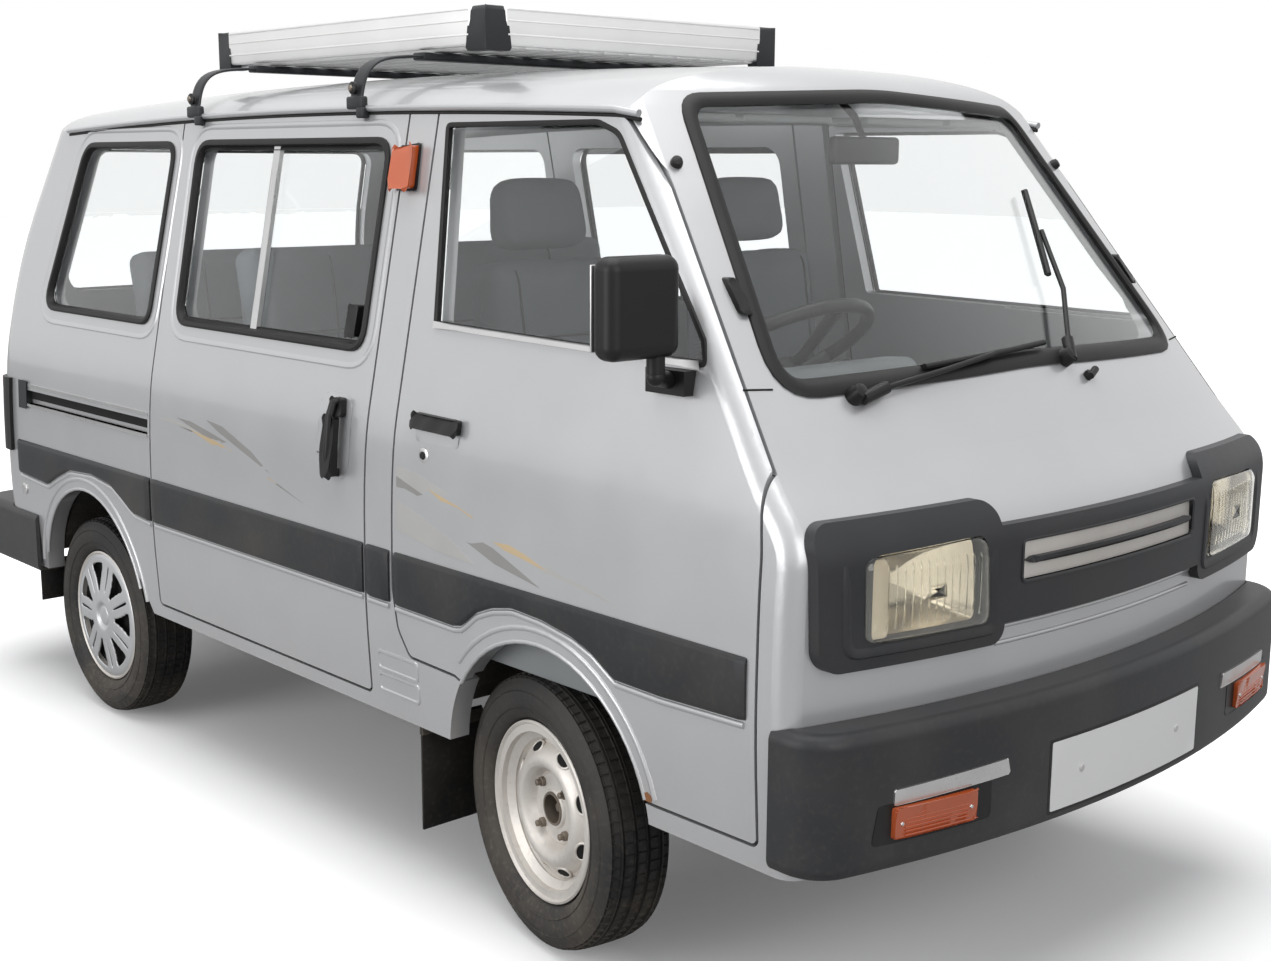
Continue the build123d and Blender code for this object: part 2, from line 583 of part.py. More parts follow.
def build_bumper(centre_y, bow_axis, end_y, z0, z1, depth):
    """Deep channel that wraps round the corners; its top edge reaches back to the body."""
    outer = extrude(Plane.XY.offset(z0) * bumper_plan(centre_y, bow_axis, 714, end_y, 85), amount=z1 - z0)
    edges = [e for e in outer.edges() if e.bounding_box().size.Z < 1 and abs(e.center().Y - end_y) > 2]
    outer = fillet(edges, 22)
    sign = 1 if bow_axis > centre_y else -1
    inner_plan = bumper_plan(centre_y + sign * depth, bow_axis, 704, end_y + sign * 10, 45)
    hollow = extrude(Plane.XY.offset(z0 - 10) * inner_plan, amount=z1 - z0 - 4)
    return outer - hollow - envelope(-2, SILL_Z - 40)


def build_fittings():
    nodes = {}
    nodes["front_bumper"] = build_bumper(-FRONT_OVERHANG, NOSE_AXIS, -600, 365, 600, 50)
    end = WHEELBASE + REAR_OVERHANG
    rear = build_bumper(end, end - 4000, 2125, 335, 500, 60)
    nodes["rear_bumper"] = rear - both_sides(arch_cut(REAR_ARCH))
    nodes["door_mirror_right"] = mirrored(build_mirror())
    nodes["roof_rack"] = build_rack()
    return nodes


MIRROR_PIVOT = (722, -352)     # across and along; only the right door carries a mirror


def build_mirror():
    """Door mirror drawn for the left side: case, stalk, elbow and foot."""
    x, y = MIRROR_PIVOT
    case = fillet(block(x - 36, x + 114, y - 26, y + 30, 1143, 1303).edges(), 22)
    case += rod((x, y, 1150), (x, y, 1118), 15)
    elbow = Pos(x, y, 1112) * Sphere(15) + rod((x, y, 1112), (668, -335, 1100), 14)
    foot = block(655, 684, -377, -287, 1080, 1120) - sides_solid(-0.5)
    return case + (elbow - sides_solid(-0.5)) + foot


RACK_HALF = 420
RACK_FRONT = 471
RACK_REAR = 1547
RACK_Z = (1665, 1751)
RACK_FEET = (690, 1370)


def build_rack():
    z0, z1 = RACK_Z
    length = RACK_REAR - RACK_FRONT
    rail = Part()
    for side in (-1, 1):
        rail += block(side * (RACK_HALF - 22), side * RACK_HALF, RACK_FRONT, RACK_REAR, z0, z1)
    for y in (RACK_FRONT, RACK_REAR - 22):
        rail += block(-RACK_HALF, RACK_HALF, y, y + 22, z0, z1)
    slats = 11
    pitch = (2 * RACK_HALF - 60) / slats
    for i in range(slats):
        x = -RACK_HALF + 30 + pitch * (i + 0.5)
        rail += block(x - 22, x + 22, RACK_FRONT + 10, RACK_REAR - 10, z0 + 4, z0 + 14)
    for y in RACK_FEET:
        rail += block(-RACK_HALF - 20, RACK_HALF + 20, y - 22, y + 22, z0 - 8, z0 + 6)
        foot_z = gutter_height(y)
        for side in (-1, 1):
            route = [(side * 430, z0 - 1), (side * 545, z0 - 14), (side * 582, foot_z + 50), (side * 588, foot_z - 12)]
            wide = [(side * 430, z0 - 8), (side * 548, z0 - 24), (side * 570, foot_z + 48), (side * 576, foot_z + 8)]
            outline = [*route, (side * 578, foot_z - 12), *reversed(wide)]
            rail += front_prism(outline, y - 26, y + 26)
    return rail


# ---------------------------------------------------------------- export
def main():
    nodes = build_panels()
    nodes.update(build_floor())
    nodes.update(build_driveline())
    nodes.update(build_wheels())
    nodes.update(build_steering())
    nodes.update(build_cabin())
    nodes.update(build_fittings())
    os.makedirs("parts", exist_ok=True)
    for name, shape in nodes.items():
        export_step(Pos(0, -ORIGIN_STATION, 0) * Compound(children=list(shape.solids())), "parts/" + name + ".step")


main()
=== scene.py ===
import json
import math

import bmesh
import bpy
from mathutils import Matrix, Vector


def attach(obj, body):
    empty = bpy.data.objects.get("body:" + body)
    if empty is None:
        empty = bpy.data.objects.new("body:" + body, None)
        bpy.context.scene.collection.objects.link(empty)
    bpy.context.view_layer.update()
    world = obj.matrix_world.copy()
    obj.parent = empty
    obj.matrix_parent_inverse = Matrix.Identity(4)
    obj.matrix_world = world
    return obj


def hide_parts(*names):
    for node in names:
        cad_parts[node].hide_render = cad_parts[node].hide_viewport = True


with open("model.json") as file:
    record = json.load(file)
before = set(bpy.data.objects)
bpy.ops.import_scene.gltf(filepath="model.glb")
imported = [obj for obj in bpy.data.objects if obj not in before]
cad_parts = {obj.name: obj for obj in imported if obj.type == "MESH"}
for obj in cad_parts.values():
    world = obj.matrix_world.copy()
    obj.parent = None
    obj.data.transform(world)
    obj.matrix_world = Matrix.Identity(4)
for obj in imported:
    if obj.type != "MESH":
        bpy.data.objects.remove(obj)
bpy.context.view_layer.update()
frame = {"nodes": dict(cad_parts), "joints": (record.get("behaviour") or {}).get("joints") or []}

# The van's own measures are in millimetres: x to its left, station behind the front axle, height.
MM = 0.001
ORIGIN_STATION = 888
SIDES = (("left", 1), ("right", -1))


def at(x, y, z):
    """Point in the frame, in metres, from the van's own measures."""
    return Vector((x, y - ORIGIN_STATION, z)) * MM


# ---------------------------------------------------------------- body surfaces
SIDE_KNOTS = [(200, 685), (400, 698), (560, 706), (700, 706), (860, 700), (940, 691), (1003, 679)]
NOSE_KNOTS = [(840, -730), (880, -717), (925, -692), (986, -640)]
TAIL_KNOTS = [(900, 2410), (1010, 2407), (1124, 2394), (1210, 2370), (1300, 2336), (1525, 2222)]
NOSE_AXIS = 1737
TAIL_AXIS = -1590
WAIST_Z, SIDE_LEAN = 1003, 108 / 549                                # above the waist the sides lean inwards
SCREEN_FOOT_Z, SCREEN_FOOT_Y, SCREEN_SLOPE = 986, -640, 450 / 580
SHARP = math.radians(38)                                            # edges sharper than this stay sharp
GUTTER_Z, GUTTER_HALF, GUTTER_MID, ROOF_R = 1552, 571, 850, 25000


def along(knots, z):
    """Value at height z on a line through (height, value) knots."""
    if z <= knots[0][0]:
        return knots[0][1]
    for (z0, v0), (z1, v1) in zip(knots, knots[1:]):
        if z <= z1:
            return v0 + (v1 - v0) * (z - z0) / (z1 - z0)
    return knots[-1][1]


def side_x(z):
    if z >= WAIST_Z:
        return GUTTER_HALF + (GUTTER_Z - z) * SIDE_LEAN
    return along(SIDE_KNOTS, z)


def nose_y(x, z):
    middle = along(NOSE_KNOTS, z) if z < SCREEN_FOOT_Z else SCREEN_FOOT_Y + (z - SCREEN_FOOT_Z) * SCREEN_SLOPE
    return NOSE_AXIS - math.sqrt((NOSE_AXIS - middle) ** 2 - x * x)


def tail_y(x, z):
    return TAIL_AXIS + math.sqrt((along(TAIL_KNOTS, z) - TAIL_AXIS) ** 2 - x * x)


def gutter_z(y):
    return GUTTER_Z - (y - GUTTER_MID) ** 2 / (2 * ROOF_R)


def on_side(side):
    """(station, height, lift off the skin) to a point on one side of the body."""
    return lambda y, z, h: at(side * (side_x(z) + h), y, z)


def on_nose(x, z, h):
    return at(x, nose_y(x, z) - h, z)


def on_tail(x, z, h):
    return at(x, tail_y(x, z) + h, z)


# ---------------------------------------------------------------- materials
def node(tree, kind, **values):
    n = tree.nodes.new(kind)
    for key, value in values.items():
        setattr(n, key, value)
    return n


def new_group(name, inputs, outputs):
    tree = bpy.data.node_groups.new(name, "ShaderNodeTree")
    for label, kind, default in inputs:
        socket = tree.interface.new_socket(label, in_out="INPUT", socket_type=kind)
        socket.default_value = default
    for label, kind in outputs:
        tree.interface.new_socket(label, in_out="OUTPUT", socket_type=kind)
    return tree, node(tree, "NodeGroupInput"), node(tree, "NodeGroupOutput")


def math_node(tree, operation, a, b=None, clamp=False):
    n = node(tree, "ShaderNodeMath", operation=operation, use_clamp=clamp)
    for socket, value in zip(n.inputs, (a, b)):
        if isinstance(value, (int, float)):
            socket.default_value = value
        elif value is not None:
            tree.links.new(value, socket)
    return n.outputs[0]


def grime_group():
    """Road dust: heavy low on the vehicle and in soft patches, with fine specks."""
    tree, given, out = new_group("RoadGrime",
                                 [("Amount", "NodeSocketFloat", 0.5), ("Height", "NodeSocketFloat", 0.6)],
                                 [("Mask", "NodeSocketFloat")])
    place = node(tree, "ShaderNodeTexCoord").outputs["Object"]
    split = node(tree, "ShaderNodeSeparateXYZ")
    tree.links.new(place, split.inputs[0])
    low = math_node(tree, "SUBTRACT", 1.0, math_node(tree, "DIVIDE", split.outputs["Z"],
                                                     given.outputs["Height"]), True)
    cloud = node(tree, "ShaderNodeTexNoise")
    cloud.inputs["Scale"].default_value = 5.0
    cloud.inputs["Detail"].default_value = 6.0
    speck = node(tree, "ShaderNodeTexNoise")
    speck.inputs["Scale"].default_value = 90.0
    for n in (cloud, speck):
        tree.links.new(place, n.inputs["Vector"])
    patches = math_node(tree, "MULTIPLY", math_node(tree, "SUBTRACT", cloud.outputs["Fac"], 0.38, True), 2.2,
                        True)
    specks = math_node(tree, "MULTIPLY", math_node(tree, "SUBTRACT", speck.outputs["Fac"], 0.52, True), 2.0,
                       True)
    total = math_node(tree, "ADD", math_node(tree, "MULTIPLY", low, patches),
                      math_node(tree, "MULTIPLY", low, specks))
    total = math_node(tree, "ADD", total, math_node(tree, "MULTIPLY", patches, 0.10))
    tree.links.new(math_node(tree, "MULTIPLY", total, given.outputs["Amount"], True), out.inputs["Mask"])
    return tree


def grain_group():
    """Fine surface grain for plastic, rubber, cast metal and old paint."""
    tree, given, out = new_group("Grain", [("Scale", "NodeSocketFloat", 400.0),
                                           ("Waviness", "NodeSocketFloat", 0.2)],
                                           [("Height", "NodeSocketFloat"), ("Tone", "NodeSocketFloat")])
    place = node(tree, "ShaderNodeTexCoord").outputs["Object"]
    fine = node(tree, "ShaderNodeTexNoise")
    fine.inputs["Detail"].default_value = 3.0
    broad = node(tree, "ShaderNodeTexNoise")
    broad.inputs["Scale"].default_value = 7.0
    broad.inputs["Detail"].default_value = 4.0
    tree.links.new(place, fine.inputs["Vector"])
    tree.links.new(place, broad.inputs["Vector"])
    tree.links.new(given.outputs["Scale"], fine.inputs["Scale"])
    wave = math_node(tree, "MULTIPLY", broad.outputs["Fac"], given.outputs["Waviness"])
    tree.links.new(math_node(tree, "ADD", fine.outputs["Fac"], wave), out.inputs["Height"])
    tree.links.new(broad.outputs["Fac"], out.inputs["Tone"])
    return tree


def weave_group():
    """Two crossed thread waves of a woven seat cloth."""
    tree, given, out = new_group("Weave", [("Scale", "NodeSocketFloat", 160.0)],
                                 [("Height", "NodeSocketFloat")])
    place = node(tree, "ShaderNodeTexCoord").outputs["Object"]
    waves = []
    for direction in ("X", "Z"):
        wave = node(tree, "ShaderNodeTexWave", bands_direction=direction)
        wave.inputs["Distortion"].default_value = 0.6
        tree.links.new(place, wave.inputs["Vector"])
        tree.links.new(given.outputs["Scale"], wave.inputs["Scale"])
        waves.append(wave.outputs["Fac"])
    tree.links.new(math_node(tree, "MULTIPLY", *waves), out.inputs["Height"])
    return tree


GRIME, GRAIN, WEAVE = grime_group(), grain_group(), weave_group()
DUST = (0.33, 0.28, 0.22, 1)
DARK = 0.07         # plastics and rubbers below this tone have a dull surface


def colour(rgb, factor=1.0):
    return tuple(min(1.0, c * factor) for c in rgb) + (1,)


def mix_colour(tree, factor, a, b):
    n = node(tree, "ShaderNodeMix", data_type="RGBA")
    for socket, value in zip((n.inputs[0], n.inputs[6], n.inputs[7]), (factor, a, b)):
        if isinstance(value, (int, float, tuple)):
            socket.default_value = value
        else:
            tree.links.new(value, socket)
    return n.outputs[2]


def finish_material(name, rgb, rough, metallic=0.0, coat=0.0, grain=400.0, bump=0.1, grime=0.3, height=0.6,
                    waviness=0.2, vary=0.12, weave=0.0, dust=DUST, relief=0.0004):
    """Principled finish with uneven tone, grain relief and road dust."""
    made = bpy.data.materials.new(name)
    made.use_nodes = True
    tree = made.node_tree
    shader = tree.nodes["Principled BSDF"]
    shader.inputs["Metallic"].default_value = metallic
    shader.inputs["Coat Weight"].default_value = coat
    shader.inputs["Coat Roughness"].default_value = 0.08
    if max(rgb) < DARK:
        shader.inputs["Specular IOR Level"].default_value = 0.28
    grain_node = node(tree, "ShaderNodeGroup", node_tree=GRAIN)
    grain_node.inputs["Scale"].default_value = grain
    grain_node.inputs["Waviness"].default_value = waviness
    grime_node = node(tree, "ShaderNodeGroup", node_tree=GRIME)
    grime_node.inputs["Amount"].default_value = grime
    grime_node.inputs["Height"].default_value = height
    tone = mix_colour(tree, grain_node.outputs["Tone"], colour(rgb, 1 - vary), colour(rgb, 1 + vary))
    if weave:
        weave_node = node(tree, "ShaderNodeGroup", node_tree=WEAVE)
        weave_node.inputs["Scale"].default_value = weave
        tone = mix_colour(tree, weave_node.outputs["Height"], tone, colour(rgb, 1.8))
    base = mix_colour(tree, grime_node.outputs["Mask"], tone, dust)
    tree.links.new(base, shader.inputs["Base Color"])
    worn = math_node(tree, "ADD", math_node(tree, "MULTIPLY", grime_node.outputs["Mask"], 0.4),
                     math_node(tree, "ADD", math_node(tree, "MULTIPLY", grain_node.outputs["Tone"], 0.1),
                               rough - 0.05))
    tree.links.new(worn, shader.inputs["Roughness"])
    relief_node = node(tree, "ShaderNodeBump")
    relief_node.inputs["Strength"].default_value = bump
    relief_node.inputs["Distance"].default_value = relief
    tree.links.new(weave_node.outputs["Height"] if weave else grain_node.outputs["Height"],
                   relief_node.inputs["Height"])
    tree.links.new(relief_node.outputs[0], shader.inputs["Normal"])
    return made


PAINT = finish_material("SilverPaint", (0.50, 0.505, 0.515), 0.32, metallic=0.5, coat=0.6, grain=2500,
                        bump=0.06, grime=0.35, height=0.55, vary=0.035)
INNER = finish_material("InnerTrim", (0.26, 0.275, 0.28), 0.62, grain=500, bump=0.3, grime=0.1)
CHASSIS = finish_material("Underbody", (0.035, 0.034, 0.033), 0.75, grain=120, bump=0.4, grime=0.9,
                          height=0.7)
MACHINERY = finish_material("OilyIron", (0.12, 0.11, 0.10), 0.6, metallic=0.6, grain=150, bump=0.5, grime=0.8)
PIPE = finish_material("RustyPipe", (0.17, 0.10, 0.065), 0.7, metallic=0.5, grain=90, bump=0.6, grime=0.6,
                       vary=0.5)
MOULDING = finish_material("DarkMoulding", (0.020, 0.022, 0.025), 0.42, grain=900, bump=0.25, grime=0.22,
                           height=1.0, vary=0.15)
BUMPER = finish_material("BumperPlastic", (0.030, 0.031, 0.034), 0.44, grain=700, bump=0.22, grime=0.16,
                         height=0.9, vary=0.2)
BLACK = finish_material("BlackPlastic", (0.009, 0.009, 0.0095), 0.4, grain=800, bump=0.2, grime=0.1)
SEAL = finish_material("RubberSeal", (0.008, 0.008, 0.0085), 0.5, grain=500, bump=0.2, grime=0.2)
DASH = finish_material("DashPlastic", (0.17, 0.185, 0.19), 0.6, grain=600, bump=0.35, grime=0.1)
RUBBER = finish_material("TyreRubber", (0.021, 0.021, 0.022), 0.6, grain=300, bump=0.35, grime=0.35,
                         height=0.6, vary=0.3)
STEEL = finish_material("WheelSilver", (0.72, 0.685, 0.64), 0.38, metallic=0.35, grain=350, bump=0.12,
                        grime=0.35, vary=0.12, dust=(0.16, 0.12, 0.09, 1))
COVER = finish_material("CoverSilver", (0.56, 0.57, 0.58), 0.35, metallic=0.45, coat=0.3, grain=900,
                        bump=0.08, grime=0.3, dust=(0.2, 0.17, 0.14, 1))
BRIGHT = finish_material("BrightTrim", (0.60, 0.60, 0.60), 0.28, metallic=0.9, grain=600, bump=0.12,
                         grime=0.3, height=1.0)
ALUMINIUM = finish_material("BrushedAluminium", (0.80, 0.80, 0.795), 0.36, metallic=0.55, grain=260,
                            bump=0.05, grime=0.1, height=2.0, vary=0.05)
CLOTH = finish_material("SeatCloth", (0.105, 0.118, 0.130), 0.9, bump=0.5, grime=0.05, weave=420.0,
                        relief=0.0008, vary=0.25)
PIPING = finish_material("SeatPiping", (0.035, 0.037, 0.04), 0.7, grain=900, bump=0.3, grime=0.05)
AMBER = finish_material("AmberLens", (0.50, 0.085, 0.015), 0.2, coat=0.5, grain=900, bump=0.2, grime=0.15,
                        height=1.2)
RED = finish_material("RedLens", (0.38, 0.012, 0.010), 0.2, coat=0.6, grain=900, bump=0.15, grime=0.15,
                      height=1.2)
CLEAR_LENS = finish_material("ClearLens", (0.80, 0.80, 0.76), 0.12, coat=0.5, grain=600, bump=0.1, grime=0.1,
                             height=1.2)
WHITE = finish_material("PlateWhite", (0.80, 0.80, 0.80), 0.4, grain=500, bump=0.05, grime=0.05, vary=0.02)
LINER = finish_material("RoofLining", (0.33, 0.34, 0.34), 0.8, grain=700, bump=0.3, grime=0.02)
# Black that paints shade: in shut lines, seams, the rail channel, wheel vents and behind wheel discs.
SHADOW = finish_material("PaintedShadowBlack", (0.006, 0.006, 0.006), 0.8, grain=300, bump=0.1, grime=0.0)
RUST = finish_material("RustEdge", (0.30, 0.12, 0.04), 0.8, grain=150, bump=0.6, grime=0.3, vary=0.5)
STRIPE_GREY = finish_material("StripeGrey", (0.30, 0.295, 0.285), 0.4, metallic=0.3, grain=900, bump=0.05,
                              grime=0.1)
STRIPE_PALE = finish_material("StripePale", (0.47, 0.465, 0.45), 0.4, metallic=0.3, grain=900, bump=0.05,
                              grime=0.1)
STRIPE_GOLD = finish_material("StripeGold", (0.58, 0.45, 0.28), 0.4, metallic=0.3, grain=900, bump=0.05,
                              grime=0.1)
REFLECTOR = finish_material("LampReflector", (0.50, 0.455, 0.38), 0.2, metallic=0.9, grain=60, bump=0.25,
                            grime=0.2, height=2.0)
FOGGED = finish_material("FoggedLens", (0.42, 0.36, 0.27), 0.25, coat=0.4, grain=120, bump=0.5, grime=0.3,
                         height=2.0)
GRILLE_SILVER = finish_material("GrilleSilver", (0.60, 0.575, 0.54), 0.4, metallic=0.3, grain=600, bump=0.1,
                                grime=0.3, height=1.2)
NUT_STEEL = finish_material("NutSteel", (0.20, 0.17, 0.14), 0.45, metallic=0.7, grain=300, bump=0.3,
                            grime=0.5, vary=0.3)


def glass_material(name, rgb, rough):
    made = bpy.data.materials.new(name)
    made.use_nodes = True
    tree = made.node_tree
    shader = tree.nodes["Principled BSDF"]
    shader.inputs["Transmission Weight"].default_value = 1.0
    shader.inputs["IOR"].default_value = 1.45
    grime_node = node(tree, "ShaderNodeGroup", node_tree=GRIME)
    grime_node.inputs["Amount"].default_value = 0.04
    grime_node.inputs["Height"].default_value = 4.0
    tint = mix_colour(tree, grime_node.outputs["Mask"], colour(rgb), (0.6, 0.58, 0.54, 1))
    tree.links.new(tint, shader.inputs["Base Color"])
    tree.links.new(math_node(tree, "ADD", math_node(tree, "MULTIPLY", grime_node.outputs["Mask"], 0.3),
                             rough), shader.inputs["Roughness"])
    return made


GLASS = glass_material("WindowGlass", (0.965, 0.98, 0.98), 0.0)
LENS_GLASS = glass_material("LampGlass", (0.95, 0.94, 0.88), 0.04)


# ---------------------------------------------------------------- mesh helpers
def finish_piece(name, bm, body, material, slot=None, modifiers=()):
    """Object on a body from a bmesh. The slot argument is not used."""
    bmesh.ops.remove_doubles(bm, verts=bm.verts, dist=0.00005)
    bmesh.ops.recalc_face_normals(bm, faces=bm.faces)
    mesh = bpy.data.meshes.new(name)
    bm.to_mesh(mesh)
    bm.free()
    mesh.polygons.foreach_set("use_smooth", [True] * len(mesh.polygons))
    piece = bpy.data.objects.new(name, mesh)
    bpy.context.scene.collection.objects.link(piece)
    mesh.materials.append(material)
    for kind, values in modifiers:
        modifier = piece.modifiers.new(kind.title(), kind)
        for key, value in values.items():
            setattr(modifier, key, value)
    mesh.set_sharp_from_angle(angle=SHARP)
    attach(piece, body)
    return piece


def subdivided(levels):
    return ("SUBSURF", {"levels": levels, "render_levels": levels})


def rounded(corners, radii, inset=0.0, arc_steps=6, spacing=60.0):
    """Points of a rounded outline, in order; an inset outline has the same count as the full one."""
    count = len(corners)
    area = sum(a[0] * b[1] - b[0] * a[1] for a, b in zip(corners, corners[1:] + corners[:1]))
    turn = 1 if area > 0 else -1
    radii = radii if isinstance(radii, list) else [radii] * count
    full = [Vector(c) for c in corners]

    def inner_corner(i):
        before = (full[i] - full[i - 1]).normalized()
        after = (full[(i + 1) % count] - full[i]).normalized()
        n0 = Vector((-before.y, before.x)) * turn
        n1 = Vector((-after.y, after.x)) * turn
        return full[i] + (n0 + n1) * (inset / (1 + n0.dot(n1)))

    shifted = [inner_corner(i) for i in range(count)]
    arcs = []
    for i in range(count):
        before = (shifted[i] - shifted[i - 1]).normalized()
        after = (shifted[(i + 1) % count] - shifted[i]).normalized()
        bend = math.acos(max(-1, min(1, before.dot(after))))
        convex = (before.x * after.y - before.y * after.x) * turn > 0
        radius = max(0.5, radii[i] - inset if convex else radii[i] + inset)
        reach = radius * math.tan(bend / 2)
        start, end = shifted[i] - before * reach, shifted[i] + after * reach
        arc = []
        for k in range(arc_steps + 1):
            t = k / arc_steps
            arc.append(start * (1 - t) ** 2 + shifted[i] * 2 * t * (1 - t) + end * t * t)
        arcs.append(arc)
    points = []
    for i in range(count):
        points += arcs[i]
        pieces = max(1, round((full[(i + 1) % count] - full[i]).length / spacing))
        last, following = arcs[i][-1], arcs[(i + 1) % count][0]
        points += [last.lerp(following, k / pieces) for k in range(1, pieces)]
    return points


def rect(a0, b0, a1, b1):
    """Corners of an upright rectangle."""
    return [(a0, b0), (a1, b0), (a1, b1), (a0, b1)]


def sided(side, near, far):
    """Low and high x of a span given as distances from the centre plane on one side."""
    return sorted((side * near, side * far))


def bridge_all(bm, loops, closed_profile):
    """Joins point loops, each closed, into one skin."""
    rings = []
    for points in loops:
        verts = [bm.verts.new(p) for p in points]
        rings.append([bm.edges.new((a, b)) for a, b in zip(verts, verts[1:] + verts[:1])])
    pairs = list(zip(rings, rings[1:]))
    if closed_profile:
        pairs.append((rings[-1], rings[0]))
    for a, b in pairs:
        bmesh.ops.bridge_loops(bm, edges=a + b)


def ring(name, corners, radii, profile, place, body, material, **options):
    """Closed bead along an outline. profile lists (distance inside the outline, lift off the skin)."""
    bm = bmesh.new()
    loops = [[place(p.x, p.y, lift) for p in rounded(corners, radii, inset)] for inset, lift in profile]
    bridge_all(bm, loops, True)
    return finish_piece(name, bm, body, material, **options)


def patch(name, points, place, lift, sink, body, material, cell=45.0, bevel=0.0, **options):
    """Raised panel that follows the skin inside an outline."""
    bm = bmesh.new()
    verts = [bm.verts.new((p[0], p[1], 0)) for p in points]
    bm.faces.new(verts)
    bmesh.ops.triangulate(bm, faces=bm.faces[:])
    for axis in (0, 1):
        low = min(p[axis] for p in points)
        high = max(p[axis] for p in points)
        steps = max(1, int((high - low) / cell))
        normal = (1, 0, 0) if axis == 0 else (0, 1, 0)
        for k in range(1, steps):
            where = [0, 0, 0]
            where[axis] = low + (high - low) * k / steps
            bmesh.ops.bisect_plane(bm, geom=bm.verts[:] + bm.edges[:] + bm.faces[:], plane_co=where,
                                   plane_no=normal)
    under = {v: (v.co.x, v.co.y) for v in bm.verts}
    made = bmesh.ops.extrude_face_region(bm, geom=bm.faces[:], use_keep_orig=True)
    top = {g for g in made["geom"] if isinstance(g, bmesh.types.BMVert)}
    for v in top:
        v.co = place(v.co.x, v.co.y, lift)
    for v, (a, b) in under.items():
        v.co = place(a, b, -sink)
    if bevel:
        rim_edges = [e for e in bm.edges if all(v in top for v in e.verts)
                     and any(any(w in under for w in f.verts) for f in e.link_faces)]
        bmesh.ops.bevel(bm, geom=rim_edges, offset=bevel * MM, segments=3, affect="EDGES", profile=0.5,
                        material=-1)
    return finish_piece(name, bm, body, material, **options)


def block(name, low, high, body, material, bevel=3.0, turn=None, segments=3, **options):
    """Rounded box between two corners given in the van's measures; turn is (angle, axis) about its middle."""
    bm = bmesh.new()
    bmesh.ops.create_cube(bm, size=1)
    a, b = at(*low), at(*high)
    size = b - a
    bmesh.ops.scale(bm, vec=[abs(s) for s in size], verts=bm.verts)
    if bevel:
        bmesh.ops.bevel(bm, geom=bm.edges[:], offset=bevel * MM, segments=segments, affect="EDGES",
                        profile=0.5, material=-1)
    if turn:
        bmesh.ops.rotate(bm, cent=(0, 0, 0), matrix=Matrix.Rotation(math.radians(turn[0]), 3, turn[1]),
                         verts=bm.verts)
    bmesh.ops.translate(bm, vec=(a + b) / 2, verts=bm.verts)
    return finish_piece(name, bm, body, material, **options)


def tube(name, points, radius, body, material, closed=False, sides=3, **options):
    """Round bar along points given in metres."""
    data = bpy.data.curves.new(name + "_line", "CURVE")
    data.dimensions = "3D"
    data.bevel_depth = radius * MM
    data.bevel_resolution = sides
    data.use_fill_caps = True
    spline = data.splines.new("POLY")
    spline.points.add(len(points) - 1)
    for p, q in zip(spline.points, points):
        p.co = (*q, 1)
    spline.use_cyclic_u = closed
    carrier = bpy.data.objects.new(name + "_line", data)
    bpy.context.scene.collection.objects.link(carrier)
    mesh = bpy.data.meshes.new_from_object(carrier)
    bpy.data.objects.remove(carrier)
    bm = bmesh.new()
    bm.from_mesh(mesh)
    bpy.data.meshes.remove(mesh)
    return finish_piece(name, bm, body, material, **options)


def lathe(bm, profile, steps, closed=False):
    """Spins (x, radius) points, in millimetres, about the X axis."""
    verts = [bm.verts.new((x * MM, 0, r * MM)) for x, r in profile]
    ends = verts[1:] + verts[:1] if closed else verts[1:]
    edges = [bm.edges.new((a, b)) for a, b in zip(verts, ends)]
    bmesh.ops.spin(bm, geom=verts + edges, cent=(0, 0, 0), axis=(1, 0, 0), angle=math.tau, steps=steps,
                   use_merge=True)


def dome(name, centre, direction, radius, height, body, material, steps=20, **options):
    """Small turned button, screw head or boss that stands out along direction."""
    bm = bmesh.new()
    lathe(bm, [(-2, radius), (height * 0.5, radius), (height * 0.9, radius * 0.8),
               (height, radius * 0.35), (height, 0.001)], steps)
    spin = Vector((1, 0, 0)).rotation_difference(Vector(direction)).to_matrix()
    bmesh.ops.rotate(bm, cent=(0, 0, 0), matrix=spin, verts=bm.verts)
    bmesh.ops.translate(bm, vec=centre, verts=bm.verts)
    return finish_piece(name, bm, body, material, **options)


def finish_node(name, material):
    """Gives a CAD node its finish."""
    slots = frame["nodes"][name].data.materials
    slots.clear()
    slots.append(material)


ROOT = "van_body"
PART_OF_DOOR = {name: "front_door_" + name for name, side in SIDES}


# ---------------------------------------------------------------- finishes of the CAD nodes
def finish_cad_nodes():
    table = {
        PAINT: ["roof_panel", "front_panel", "rear_panel", "side_panel_left", "side_panel_right",
                "front_door_left", "front_door_right", "sliding_door_left", "sliding_door_right", "tailgate"],
        GLASS: ["front_door_glass_left", "front_door_glass_right", "sliding_door_glass", "quarter_glass",
                "windscreen", "tailgate_glass"],
        BUMPER: ["front_bumper", "rear_bumper", "grille"],
        BLACK: ["door_mirror_right", "tail_lamps"],
        CHASSIS: ["floor_pan", "seat_box", "front_wheel_housings", "rear_wheel_housings", "propeller_shaft",
                  "rear_axle", "fuel_tank", "front_suspension"],
        MACHINERY: ["engine", "front_knuckle_left", "front_knuckle_right"],
        PIPE: ["exhaust"],
        DASH: ["dashboard", "steering_column"],
        STEEL: ["front_rim_left", "front_rim_right", "rear_rim_left", "rear_rim_right"],
    }
    for material, names in table.items():
        for name in names:
            finish_node(name, material)


